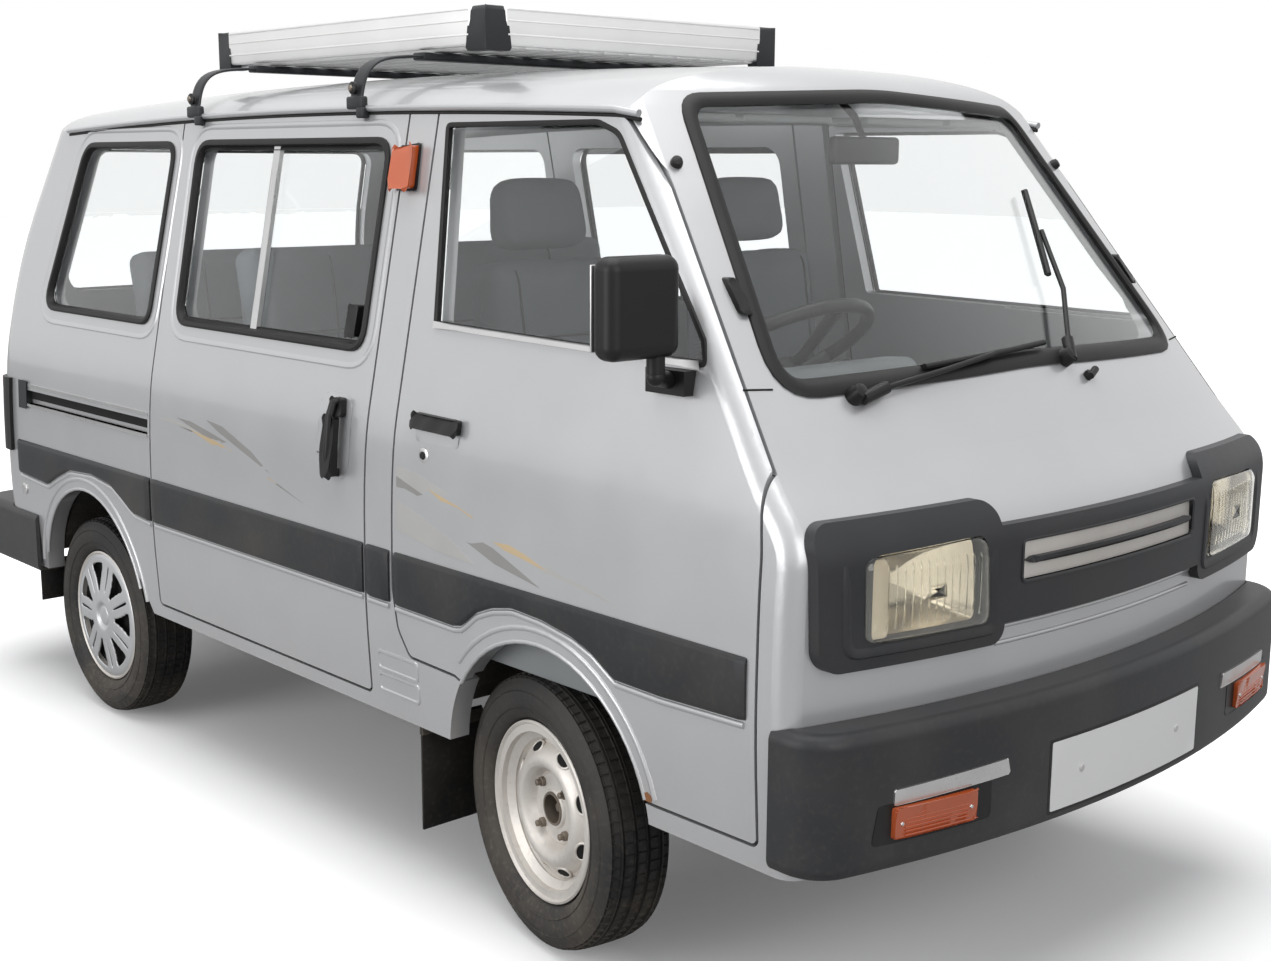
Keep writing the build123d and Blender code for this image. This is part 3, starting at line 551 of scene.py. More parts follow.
# ---------------------------------------------------------------- windows and seals
SCREEN = [(-570, 1096), (0, 1113), (570, 1096), (462, 1542), (0, 1561), (-462, 1542)]
SCREEN_R = [45, 2000, 45, 45, 1500, 45]
SLIDER_WINDOW = [(1344, 1078), (570, 1078), (570, 1482), (1348, 1482)]
QUARTER_WINDOW = [(2080, 1066), (1490, 1066), (1470, 1480), (1950, 1480)]
QUARTER_R = [45, 40, 40, 60]
FRONT_WINDOW = [(385, 1514), (-50, 1513), (-109, 1494), (-382, 1168), (-396, 1128), (335, 1140)]
FRONT_WINDOW_R = [10, 60, 60, 10, 10, 10]
TAIL_WINDOW = [(-500, 1080), (500, 1080), (440, 1475), (-440, 1475)]
WIDE_SEAL = [(-20, -3), (-19, 4), (-12, 8), (-2, 8), (5, 3), (7, -8), (0, -9)]
SLIM_SEAL = [(-11, -3), (-10, 4), (-5, 7), (2, 6), (6, 0), (7, -10), (0, -11)]


def window_seals():
    ring("windscreen_seal", SCREEN, SCREEN_R, WIDE_SEAL, on_nose, ROOT, SEAL)
    ring("tail_window_seal", TAIL_WINDOW, 50, SLIM_SEAL, on_tail, "tailgate", SEAL)
    for name, side in SIDES:
        place = on_side(side)
        ring("slider_seal_" + name, SLIDER_WINDOW, 45, SLIM_SEAL, place, ROOT, SEAL)
        ring("quarter_seal_" + name, QUARTER_WINDOW, QUARTER_R, SLIM_SEAL, place, ROOT, SEAL)
        press = [(-46, -0.5), (-42, 2.6), (-37, 2.2), (-31, -0.5)]
        ring("slider_press_" + name, SLIDER_WINDOW, 45, press, place, ROOT, PAINT)
        ring("quarter_press_" + name, QUARTER_WINDOW, QUARTER_R, press, place, ROOT, PAINT)
        door = PART_OF_DOOR[name]
        slim = [(-4, -2), (-3, 2), (1, 3), (6, 1), (7, -8), (0, -9)]
        ring("door_glass_seal_" + name, FRONT_WINDOW, FRONT_WINDOW_R, slim, place, door, SEAL)
        # The bar is dark; on the right side it is bright metal instead, a painted highlight.
        patch("slider_pane_bar_" + name, rect(992, 1086, 1014, 1476), place, -2, 13, ROOT,
              BRIGHT if side < 0 else SEAL, slot="dark_plastic", bevel=2)
        for rail_z in (1084, 1472):
            patch("slider_channel_%d_%s" % (rail_z, name), rect(590, rail_z - 5, 1330, rail_z + 5), place, -3,
                  13, ROOT, SEAL, bevel=2)
        patch("slider_latch_" + name, rounded(rect(600, 1096, 632, 1160), 8), place, 4, 13, ROOT, BLACK,
              bevel=3)
        patch("door_waist_strip_" + name, [(-384, 1124), (334, 1136), (334, 1146), (-380, 1134)], place, 5, 6,
              door, BRIGHT, slot="dark_plastic", bevel=2)


def gutters():
    """Rain gutter along the roof edge, with a black line under it that paints the shade in the drip channel.
    """
    for name, side in SIDES:
        stations = [-95 + 60 * i for i in range(37)]
        line = [at(side * (side_x(gutter_z(y)) + 5), y, gutter_z(y) - 2) for y in stations]
        line = [at(side * 575, -150, 1524)] + line
        tube("roof_gutter_" + name, line, 7, ROOT, PAINT)
        # Black line of painted shade in the drip channel under the gutter.
        seam = [p + Vector((side * -0.004, 0, -0.010)) for p in line]
        tube("gutter_channel_shade_" + name, seam, 4, ROOT, SEAL)


# ---------------------------------------------------------------- side trim
MOULD_TOP = 695
MOULD_LOW = {       # (station, height) of the lower edge of each part of the broad side moulding
    "rear": [(1442, 588), (1537, 595), (1589, 620), (1653, 648), (1766, 660), (1898, 652), (1983, 619),
             (2037, 595), (2221, 604)],
    "slider": [(519, 591), (1431, 589)],
    "pillar": [(427, 590), (506, 590)],
    "door": [(-545, 594), (-356, 587), (-241, 589), (-181, 623), (-129, 640), (-47, 653), (38, 657),
             (97, 645), (143, 627), (190, 592), (215, 587), (409, 589)],
}
STRIPES = {
    "slider": [
        ("pale", [(1411, 846), (1340, 852), (1180, 838), (960, 790), (760, 752), (900, 792), (1090, 826),
                  (1290, 840)]),
        ("grey", [(1300, 858), (1230, 856), (1060, 828), (860, 770), (740, 738), (900, 774), (1120, 820)]),
        ("gold", [(1240, 838), (1120, 826), (980, 800), (850, 766), (960, 784), (1120, 812)]),
        ("grey2", [(1160, 868), (1090, 862), (960, 822), (880, 784), (980, 812), (1100, 846)]),
    ],
    "door": [
        ("pale", [(404, 866), (330, 858), (180, 822), (-20, 764), (-250, 716), (-20, 742), (200, 792),
                  (404, 842)]),
        ("grey", [(404, 846), (300, 818), (180, 786), (60, 744), (-40, 708), (90, 728), (260, 780),
                  (404, 826)]),
        ("gold", [(300, 836), (210, 818), (80, 784), (-60, 742), (60, 758), (200, 796)]),
        ("pale2", [(404, 800), (330, 782), (220, 748), (150, 716), (270, 722), (404, 742)]),
    ],
}


def moulding(name, below, place, body):
    """Broad strip with a level top and a lower edge that rises over the wheel arch."""
    bm = bmesh.new()
    sections = []
    count = int((below[-1][0] - below[0][0]) / 12)
    for k in range(count + 1):
        y = below[0][0] + (below[-1][0] - below[0][0]) * k / count
        z0 = along(below, y)
        end = 4 if k in (0, count) else 0
        lifts = ((z0, -3), (z0, 4 - end), (z0 + 4, 8 - end), (z0 + 9, 9 - end), (MOULD_TOP - 9, 9 - end),
                 (MOULD_TOP - 3, 7 - end), (MOULD_TOP, 3 - end), (MOULD_TOP, -3))
        sections.append([bm.verts.new(place(y, z, h)) for z, h in lifts])
    for a, b in zip(sections, sections[1:]):
        for i in range(len(a) - 1):
            bm.faces.new((a[i], a[i + 1], b[i + 1], b[i]))
    for section in (sections[0], sections[-1]):
        bm.faces.new(section)
    finish_piece("moulding_" + name, bm, body, MOULDING)
    crease = [place(y, along(below, y) - 9, -2) for y in range(below[0][0] + 4, below[-1][0], 12)]
    tube("moulding_crease_" + name, crease, 6.5, body, PAINT, sides=4)


def side_trim():
    stripe_finish = {"grey": STRIPE_GREY, "gold": STRIPE_GOLD, "pale": STRIPE_PALE}
    for name, side in SIDES:
        place = on_side(side)
        for part, below in MOULD_LOW.items():
            body = PART_OF_DOOR[name] if part == "door" else ROOT
            moulding("%s_%s" % (part, name), below, place, body)
        for part, shapes in STRIPES.items():
            body = PART_OF_DOOR[name] if part == "door" else ROOT
            for i, (kind, points) in enumerate(shapes):
                patch("stripe_%s_%d_%s" % (part, i, name), points, place, 0.7 + 0.15 * i, 2, body,
                      stripe_finish[kind.rstrip("2")], cell=40)
        # The bright strips on the rail's lips are painted highlights; the sunk black strip paints the shade in
        # its channel.
        rail_parts = ((846, 853, 3, BRIGHT), (836, 846, 1, PAINT), (793, 800, 5, BRIGHT),
                      (812, 834, -9, SHADOW))
        for z0, z1, lift, material in rail_parts:
            patch("slider_rail_%d_%s" % (z0, name), rect(1446, z0, 2176, z1), place, lift, 13, ROOT, material,
                  slot="body_paint", bevel=0)
        patch("rail_end_" + name, rect(2150, 788, 2196, 858), place, 6, 10, ROOT, MOULDING, bevel=3)
        base = rounded([(455, 1388), (521, 1388), (525, 1474), (461, 1480)], 9)
        patch("side_marker_base_" + name, base, place, 4, 3, ROOT, BLACK, bevel=1.5)
        marker = rounded([(460, 1392), (516, 1392), (520, 1470), (466, 1476)], 8)
        patch("side_marker_" + name, marker, place, 24, 3, ROOT, AMBER, bevel=7)


def shut_lines():
    """Black sheet deep in the shut lines, painted shade so that the gaps read as gaps."""
    for name, side in SIDES:
        place = on_side(side)
        for part, y, z0 in (("b", 418, 560), ("slider_front", 514, 400), ("slider_rear", 1437, 400)):
            patch("gap_%s_%s" % (part, name), rect(y - 6, z0, y + 6, 1530), place, -14, 24, ROOT, SHADOW,
                  cell=120)
        patch("gap_sill_" + name, rect(514, 376, 1440, 390), place, -14, 30, ROOT, SHADOW, cell=120)


# ---------------------------------------------------------------- handles, locks and steps
HANDLE_REACH = {"left": (7, 14), "right": (26, 30)}     # how far the bar and the grip stand off the skin


def handles():
    for name, side in SIDES:
        reach, grip_reach = HANDLE_REACH[name]
        place = on_side(side)
        door = PART_OF_DOOR[name]
        dish = rounded(rect(572, 812, 690, 984), 40)
        patch("slider_handle_dish_" + name, dish, place, 1.2, 4, ROOT, PAINT, cell=20, bevel=1)
        bar = [at(side * (side_x(z) + lift), 612, z) for z, lift in ((968, 2), (966, reach - 4), (940, reach),
                                                                     (860, reach), (828, reach - 4),
                                                                     (824, 2))]
        tube("slider_handle_bar_" + name, bar, 9, ROOT, BLACK, sides=4)
        patch("slider_handle_top_" + name, rounded([(590, 938), (636, 938), (630, 976), (596, 976)], 9),
              place, 18, 2, ROOT, BLACK, bevel=4)
        patch("slider_handle_grip_" + name, rounded([(596, 818), (628, 818), (630, 940), (598, 940)], 9),
              place, grip_reach, 18 - grip_reach, ROOT, BLACK, bevel=6)
        dish = rounded(rect(212, 922, 346, 972), 12)
        patch("door_handle_dish_" + name, dish, place, 1.2, 4, door, PAINT, cell=20, bevel=1)
        flap = rounded([(208, 946), (350, 948), (350, 976), (208, 974)], 8)
        patch("door_handle_flap_" + name, flap, place, 14, 2, door, BLACK, cell=20, bevel=5)
        lock = at(side * side_x(897), 316, 897)
        dome("door_lock_" + name, lock, (side, 0, 0), 15, 4, door, BRIGHT)
        dome("door_lock_core_" + name, lock + Vector((side * 0.003, 0, 0)), (side, 0, 0), 8, 4, door, BLACK)
        for i, z in enumerate((398, 444)):
            step = rect(346, z, 480, z + 36)
            ring("sill_step_%d_%s" % (i, name), step, 9, [(-5, -1), (-3, 2.2), (2, 2.6), (6, -1)], place,
                 ROOT, PAINT)
        dome("filler_lock_" + name, at(side * side_x(560), 2196, 560), (side, 0, 0), 16, 5, ROOT, BRIGHT)


def mirrors():
    """Mirror glass in the rear face of the housing."""
    block("mirror_glass_right", (-832, -324.5, 1156), (-692, -321, 1290), "front_door_right", BRIGHT,
          slot="window_glass", bevel=1.2)


# ---------------------------------------------------------------- front
LENS = [(344, 723), (574, 723), (574, 856), (352, 864)]


def shrinking(outline, middle, steps):
    """Skin from an outline on the nose toward its middle; steps lists (lift, share of the full size)."""
    bm = bmesh.new()
    loops = []
    for lift, share in steps:
        points = [middle + (Vector(p) - middle) * share for p in outline]
        loops.append([on_nose(p.x, p.y, lift) for p in points])
    bridge_all(bm, loops, False)
    return bm


def headlights():
    """Reflector bowl, domed lens with its ribs, fogged side and gasket of each headlight."""
    for name, side in SIDES:
        corners = [(side * x, z) for x, z in LENS]
        middle = Vector((side * 461, 792))
        bowl = ((-4, 1.0), (-10, 0.97), (-30, 0.88), (-52, 0.66), (-68, 0.36), (-72, 0.10), (-72, 0.001))
        bm = shrinking(rounded(corners, 16, 2, spacing=24), middle, bowl)
        finish_piece("reflector_" + name, bm, ROOT, REFLECTOR)
        wide = rounded([(side * x, z) for x, z in ((341, 721), (590, 722), (592, 856), (350, 866))], 20, 0,
                       spacing=24)
        front = ((16, 1.0), (22, 1.0), (25, 0.985), (27, 0.93), (29, 0.80), (30.5, 0.5), (31, 0.2),
                 (31, 0.01))
        bm = shrinking(wide, middle, front)
        lens = finish_piece("headlight_lens_" + name, bm, ROOT, LENS_GLASS)
        modifier = lens.modifiers.new("Wall", "SOLIDIFY")
        modifier.thickness = 0.003
        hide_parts("headlights")
        for i in range(13):
            x = side * (368 + i * 15.5)
            tube("lens_rib_%d_%s" % (i, name),
                 [on_nose(x, z, 25 if z in (742, 842) else 28) for z in (742, 770, 800, 830, 842)], 1.3, ROOT,
                 LENS_GLASS, sides=1)
        side_patch = rounded([(side * 546, 728), (side * 584, 728), (side * 586, 850), (side * 548, 852)], 8)
        patch("lamp_side_" + name, side_patch, on_nose, 19, 8, ROOT, FOGGED, cell=12, bevel=1)
        ring("lens_gasket_" + name, corners, 16, [(-6, -4), (-6, 15), (-3, 19), (0, 15), (2, -4)], on_nose,
             ROOT, SEAL)


def bezels():
    """Raised inner step of each headlight bezel, over the broad dark surround."""
    for name, side in SIDES:
        corners = [(side * x, z) for x, z in [(318, 700), (628, 700), (634, 890), (326, 896)]]
        ring("bezel_step_" + name, corners, [22, 34, 38, 22], [(0, 16), (0, 21), (3, 24), (10, 24), (20, 19),
                                                               (10, 10)], on_nose, ROOT, BUMPER)


def grille():
    """Light insert behind the slot, with the dark centre bar and its pointed ends."""
    insert = rect(-300, 776, 300, 850)
    patch("grille_insert", insert, on_nose, 15, 2, ROOT, GRILLE_SILVER, cell=40)
    tip, shoulder, half = 256, 226, 5.5
    bar = [(-tip, 812), (12 - tip, 817), (-shoulder - 8, 818), (-shoulder, 812 + half),
           (shoulder, 812 + half), (shoulder + 8, 818), (tip - 12, 817), (tip, 812), (tip - 12, 807),
           (shoulder + 8, 806), (shoulder, 812 - half), (-shoulder, 812 - half), (-shoulder - 8, 806),
           (12 - tip, 807)]
    patch("grille_bar", bar, on_nose, 23, 2, ROOT, BUMPER, cell=40, bevel=2.5)
    edge = rect(-262, 781, 262, 844)
    ring("grille_slot_edge", edge, 8, [(-7, 14), (-6, 22), (-3, 23), (0, 20), (0, 8)], on_nose, ROOT, BUMPER)


def nose_details():
    """Pressed ledge below the grille bar, and the rust at the foot of the front arches."""
    for z, lift in ((704, 3.5), (676, 2.0)):
        tube("nose_ledge_%d" % z, [on_nose(-300 + 30 * k, z, lift - 3) for k in range(21)], 4.5, ROOT, PAINT)
    for name, side in SIDES:
        rust = [(-322, 391), (-306, 391), (-300, 402), (-313, 408), (-324, 402)]
        patch("arch_rust_" + name, rust, on_side(side), 0.8, 3, ROOT, RUST, cell=8)


def bumper_y(x):
    """Front face of the front bumper."""
    return NOSE_AXIS - math.sqrt((NOSE_AXIS + 797) ** 2 - x * x)


def on_bumper(x, z, h):
    return at(x, bumper_y(x) - h, z)


def bumper_fittings():
    for name, side in SIDES:
        strip = rounded([(side * 333, 479), (side * 572, 474), (side * 572, 500), (side * 340, 507)], 4)
        patch("bumper_strip_" + name, strip, on_bumper, 2.5, 3, ROOT, BRIGHT, cell=30, bevel=1)
        recess = rounded([(side * 372, 414), (side * 612, 414), (side * 600, 478), (side * 372, 478)], 10)
        patch("indicator_bed_" + name, recess, on_bumper, 0.8, 3, ROOT, BLACK, cell=30, bevel=0.5)
        lamp = rounded(rect(side * 411, 421, side * 575, 472), 5)
        patch("indicator_" + name, lamp, on_bumper, 9, 3, ROOT, AMBER, cell=25, bevel=3)
        for x in (424, 562):
            dome("indicator_screw_%d_%s" % (x, name), on_bumper(side * x, 446, 8), (0, -1, 0), 3.5, 3, ROOT,
                 BRIGHT, steps=10)
        for i in range(7):
            z = 426 + i * 6.5
            tube("indicator_rib_%d_%s" % (i, name), [on_bumper(side * x, z, 9) for x in (430, 480, 530, 556)],
                 1.2, ROOT, AMBER, sides=1)
    backing = rounded(rect(-236, 384, 236, 514), 5)
    patch("number_plate_back", backing, on_bumper, 0.4, 3, ROOT, BLACK, cell=40)
    plate = rounded(rect(-230, 389, 230, 509), 4)
    patch("number_plate", plate, on_bumper, 1.0, 3, ROOT, WHITE, cell=40, bevel=0.4)
    for x in (-150, 150):
        dome("plate_bolt_%d" % (x > 0), on_bumper(x, 449, 0.5), (0, -1, 0), 7, 2.5, ROOT, BRIGHT, steps=12)


def screen_pillars():
    """Rubber stop and clip on each screen pillar, and a black line of painted shade in the seam where the
    pillar meets the roof.
    """
    for name, side in SIDES:
        dome("pillar_stop_" + name, on_nose(side * 545, 1440, -4), (side * 0.45, -0.7, 0.55), 11, 16, ROOT,
             BLACK)
        clip = rounded([(side * 560, 1205), (side * 580, 1205), (side * 576, 1262), (side * 556, 1262)], 7)
        patch("pillar_clip_" + name, clip, on_nose, 12, 12, ROOT, BLACK, cell=12, bevel=3)
        # Black line that paints the shade in the seam.
        tube("hood_seam_shade_" + name, [on_nose(side * 590, 1094, 0.6), on_nose(side * 640, 1096, 0.6)], 1.6, ROOT,
             SHADOW)


def wipers():
    def blade(name, start, end, arm, pivot):
        p, q = Vector(start), Vector(end)
        lift = [on_nose(*p.lerp(q, k / 8), 14) for k in range(9)]
        tube("wiper_blade_" + name, lift, 5.5, ROOT, BLACK)
        lip = [on_nose(*p.lerp(q, k / 8), 8) for k in range(9)]
        tube("wiper_lip_" + name, lip, 3, ROOT, SEAL)
        tube("wiper_arm_" + name, [on_nose(*a, h) for *a, h in arm], 5, ROOT, BLACK)
        centre = on_nose(pivot[0], pivot[1], 0)
        dome("wiper_pivot_" + name, centre, (0, -0.8, 0.6), 16, 26, ROOT, BLACK)
        tube("wiper_knuckle_" + name, [on_nose(*arm[0][:2], 20), on_nose(*arm[1][:2], 22)], 11, ROOT, BLACK)

    blade("right", (-285, 1112), (52, 1130), [(-451, 1074, 20), (-395, 1088, 24), (-250, 1106, 24),
                                              (-110, 1122, 20)], (-451, 1074))
    blade("left", (296, 1392), (196, 1240), [(98, 1098, 20), (120, 1132, 24), (200, 1215, 26),
                                             (256, 1318, 20)], (98, 1096))
    dome("washer_jet", on_nose(145, 1064, 0), (0, -0.6, 0.8), 9, 12, ROOT, BLACK)
    tube("washer_jet_nose", [on_nose(142, 1066, 10), on_nose(168, 1076, 13)], 7, ROOT, BLACK)


# ---------------------------------------------------------------- wheels
TYRE_BLOCKS = 76
TYRE_PROFILE = [(-46, 155), (-47, 172), (-60, 178), (-67, 190), (-71, 206), (-72, 218), (-69, 234),
                (-64, 243), (-60, 250), (-57, 254), (-44, 257.5), (-41, 257.5), (-40, 252), (-37, 252),
                (-36, 258.2), (-16, 259), (-15, 252.5), (-11, 252.5), (-10, 259.2), (10, 259.2), (11, 252.5),
                (15, 252.5), (16, 259), (36, 258.2), (37, 252), (40, 252), (41, 257.5), (44, 257.5),
                (57, 254), (60, 250), (64, 243), (69, 234), (72, 218), (71, 206), (67, 190), (60, 178),
                (47, 172), (46, 155)]


def hub_place(front, side):
    """Turn and centre of a wheel, as the frame's joints state them."""
    name = "%s_wheel_spin_%s" % ("front" if front else "rear", "left" if side > 0 else "right")
    joint = next(j for j in frame["joints"] if j["name"] == name)
    axis = Vector(joint["axis"])
    turn = math.atan2(axis.y, axis.x)
    flip = Matrix.Scale(side, 4, (1, 0, 0))
    return Matrix.Translation(Vector(joint["pos_m"])) @ Matrix.Rotation(turn, 4, "Z") @ flip


def place_wheel(bm, front, side):
    bmesh.ops.transform(bm, matrix=hub_place(front, side), verts=bm.verts)


def turned(name, profile, steps, front, side, material, **options):
    """Piece spun about the axle of one wheel, which turns with it."""
    bm = bmesh.new()
    lathe(bm, profile, steps)
    place_wheel(bm, front, side)
    body = "%s_wheel_%s" % ("front" if front else "rear", "left" if side > 0 else "right")
    return finish_piece(name, bm, body, material, **options)


def tyre(front, name, side):
    bm = bmesh.new()
    lathe(bm, TYRE_PROFILE, TYRE_BLOCKS, closed=True)
    bm.faces.ensure_lookup_table()

    def radius(f):
        c = f.calc_center_median()
        return math.hypot(c.y, c.z) / MM

    ribs = [f for f in bm.faces if radius(f) > 255.5 and abs(f.normal.x) < 0.5 and f.calc_area() > 1e-4]
    shoulder = [f for f in bm.faces if f not in ribs and 250.5 < radius(f) < 256
                and 45 < abs(f.calc_center_median().x) / MM < 60]
    bmesh.ops.inset_individual(bm, faces=ribs + shoulder, thickness=0.0014, depth=0.0042)
    place_wheel(bm, front, side)
    end = "front" if front else "rear"
    piece = finish_piece("tyre_%s_%s" % (end, name), bm, "%s_wheel_%s" % (end, name), RUBBER)
    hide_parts("%s_tyre_%s" % (end, name))
    for i, (r, x) in enumerate(((196, 69.4), (228, 70.6))):
        bead = [(x - 1, r - 1.6), (x + 1.2, r), (x - 1, r + 1.6)]
        turned("tyre_line_%d_%s_%s" % (i, end, name), bead, 72, front, side, RUBBER)


VENTS = 8


def wheel_vent(name, turn, body, side):
    """Pressed rim of an oval vent in the slope of the disc, with a black oval inside it that paints the shade
    of the hole.
    """
    place = hub_place(True, side)
    along_rim = Vector((0, -math.sin(turn), math.cos(turn)))
    outwards = Vector((-0.62, 0.785 * math.cos(turn), 0.785 * math.sin(turn)))
    centre = Vector((0.0325, 0.1175 * math.cos(turn), 0.1175 * math.sin(turn)))
    oval = [math.tau * k / 24 for k in range(24)]
    rim = [place @ (centre + along_rim * math.cos(t) * 0.019 + outwards * math.sin(t) * 0.0125) for t in oval]
    tube("vent_rim_" + name, rim, 2.6, body, STEEL, closed=True)
    # Black oval inside the rim, painted shade where the hole is.
    bm = bmesh.new()
    lift = Vector((0.785, 0.62 * math.cos(turn), 0.62 * math.sin(turn))) * 0.0012
    verts = [bm.verts.new(place @ (centre + lift + along_rim * math.cos(t) * 0.0175
                                   + outwards * math.sin(t) * 0.0115)) for t in oval]
    bm.faces.new(verts)
    finish_piece("vent_hole_shade_" + name, bm, body, SHADOW)


def steel_disc(name, side):
    """Pressed steel front wheel disc with vents, studs and the greasy hub in its middle."""
    body = "front_wheel_" + name
    profile = [(6, 136), (12, 131), (26, 124), (38, 112), (45, 103), (48, 94), (46, 84), (36, 76), (22, 71),
               (14, 67), (13, 48), (15, 42), (26, 38), (30, 35), (29, 31)]
    turned("wheel_disc_" + name, profile, 64, True, side, STEEL,
           modifiers=[("SOLIDIFY", {"thickness": 0.003, "offset": -1}), subdivided(1)])
    for i in range(VENTS):
        wheel_vent("%d_%s" % (i, name), math.tau * (i + 0.5) / VENTS, body, side)
    barrel = [(52, 168), (55, 171), (57, 170), (56, 165), (50, 161), (47, 152), (40, 149), (30, 138),
              (14, 136), (-20, 137)]
    turned("wheel_barrel_" + name, barrel, 72, True, side, STEEL,
           modifiers=[("SOLIDIFY", {"thickness": 0.0025, "offset": -1})])
    for i in range(4):
        turn = math.radians(45 + 90 * i)
        y, z = 57 * math.cos(turn), 57 * math.sin(turn)
        bm = bmesh.new()
        lathe(bm, [(11, 14), (17, 13), (19, 9.5), (31, 9), (32, 6), (40, 6), (41, 4), (41, 0.01)], 12)
        bmesh.ops.translate(bm, vec=(0, y * MM, z * MM), verts=bm.verts)
        place_wheel(bm, True, side)
        finish_piece("wheel_nut_%d_%s" % (i, name), bm, body, NUT_STEEL)
    turned("hub_nose_" + name, [(8, 34), (24, 33), (31, 31), (31, 27), (4, 25), (2, 9), (18, 8), (19, 0.01)],
           32, True, side, NUT_STEEL)
    turned("hub_shade_" + name, [(10, 135), (4, 100), (0, 30)], 32, True, side, SHADOW)


COVER_SPOKES = 7
COVER_STEPS = 20 * COVER_SPOKES
OPENING_STEPS = {60: 1, 78: 2, 96: 3, 114: 4, 132: 5}      # half width of an opening, by radius, in steps


def wheel_cover(name, side):
    """Domed silver cover: seven broad spokes, each split by a thin slot, with wedge openings between."""
    body = "rear_wheel_" + name
    bm = bmesh.new()
    profile = [(46, 167), (54, 165), (58, 158), (59, 150), (60, 141), (61, 123), (62, 105), (64, 87),
               (66, 69), (67, 51), (68, 40), (66, 34), (59, 29), (59, 26), (63, 23), (64, 12), (64, 0.02)]
    lathe(bm, profile, COVER_STEPS)
    openings = []
    for f in bm.faces:
        c = f.calc_center_median()
        r = math.hypot(c.y, c.z) / MM
        step = int((math.degrees(math.atan2(c.z, c.y)) % 360) / 360 * COVER_STEPS) % 20
        ring_key = min(OPENING_STEPS, key=lambda k: abs(k - r))
        wide = OPENING_STEPS[ring_key] if 66 < r < 140 else 0
        if abs(step - 9.5) < wide - 0.4 or (step == 0 and 76 < r < 134):
            openings.append(f)
    bmesh.ops.delete(bm, geom=openings, context="FACES")
    place_wheel(bm, False, side)
    finish_piece("wheel_cover_" + name, bm, body, COVER,
                 modifiers=[("SOLIDIFY", {"thickness": 0.005, "offset": -1}), subdivided(1)])
    turned("cover_shade_" + name, [(44, 163), (40, 120), (38, 40), (38, 0.02)], 48, False, side, SHADOW)


def wheels():
    for name, side in SIDES:
        tyre(True, name, side)
        tyre(False, name, side)
        steel_disc(name, side)
        wheel_cover(name, side)
        for end, y, z in (("front", 352, 330), ("rear", 2166, 330)):
            x0, x1 = sided(side, 540, 690)
            block("mud_flap_%s_%s" % (end, name), (x0, y, 132 if end == "front" else 246),
                  (x1, y + 5, z + 30), ROOT, SEAL, bevel=1.5)
            block("mud_flap_clip_%s_%s" % (end, name), (x0, y - 3, z), (x1, y + 8, z + 26), ROOT, CHASSIS,
                  slot="dark_plastic", bevel=1.5)


ARCHES = {"front": (-32, 320), "rear": (1815, 328)}      # station and height of each arch's centre
ARCH_R = 283
ARCH_FOOT = 372
DOOR_ARCH_END = at(0, 215, 0).y     # the front arch belongs to the door as far as this


def arch_liners():
    """Folded lip round each wheel opening, and the soft flare outside it."""
    turns = [math.radians(-4 + 188 * i / 30) for i in range(31)]
    for name, side in SIDES:
        for end, (y, z) in ARCHES.items():
            body = PART_OF_DOOR[name] if end == "front" else ROOT
            for part, radius, lift, thick in (("lip", ARCH_R, -2, 5), ("flare", ARCH_R + 26, -3, 7)):
                round_arch = [(y + radius * math.cos(t), z + radius * math.sin(t)) for t in turns]
                line = [at(side * (side_x(pz) + lift), py, pz) for py, pz in round_arch if pz > ARCH_FOOT]
                if end == "front":
                    line = [p for p in line if p.y < DOOR_ARCH_END]
                tube("arch_%s_%s_%s" % (part, end, name), line, thick, body, PAINT)


# ---------------------------------------------------------------- roof rack
RACK_HALF, RACK_FRONT, RACK_REAR = 420, 471, 1547
RACK_Z = (1665, 1751)
RACK_FEET = (690, 1370)
RACK_SLATS = 11


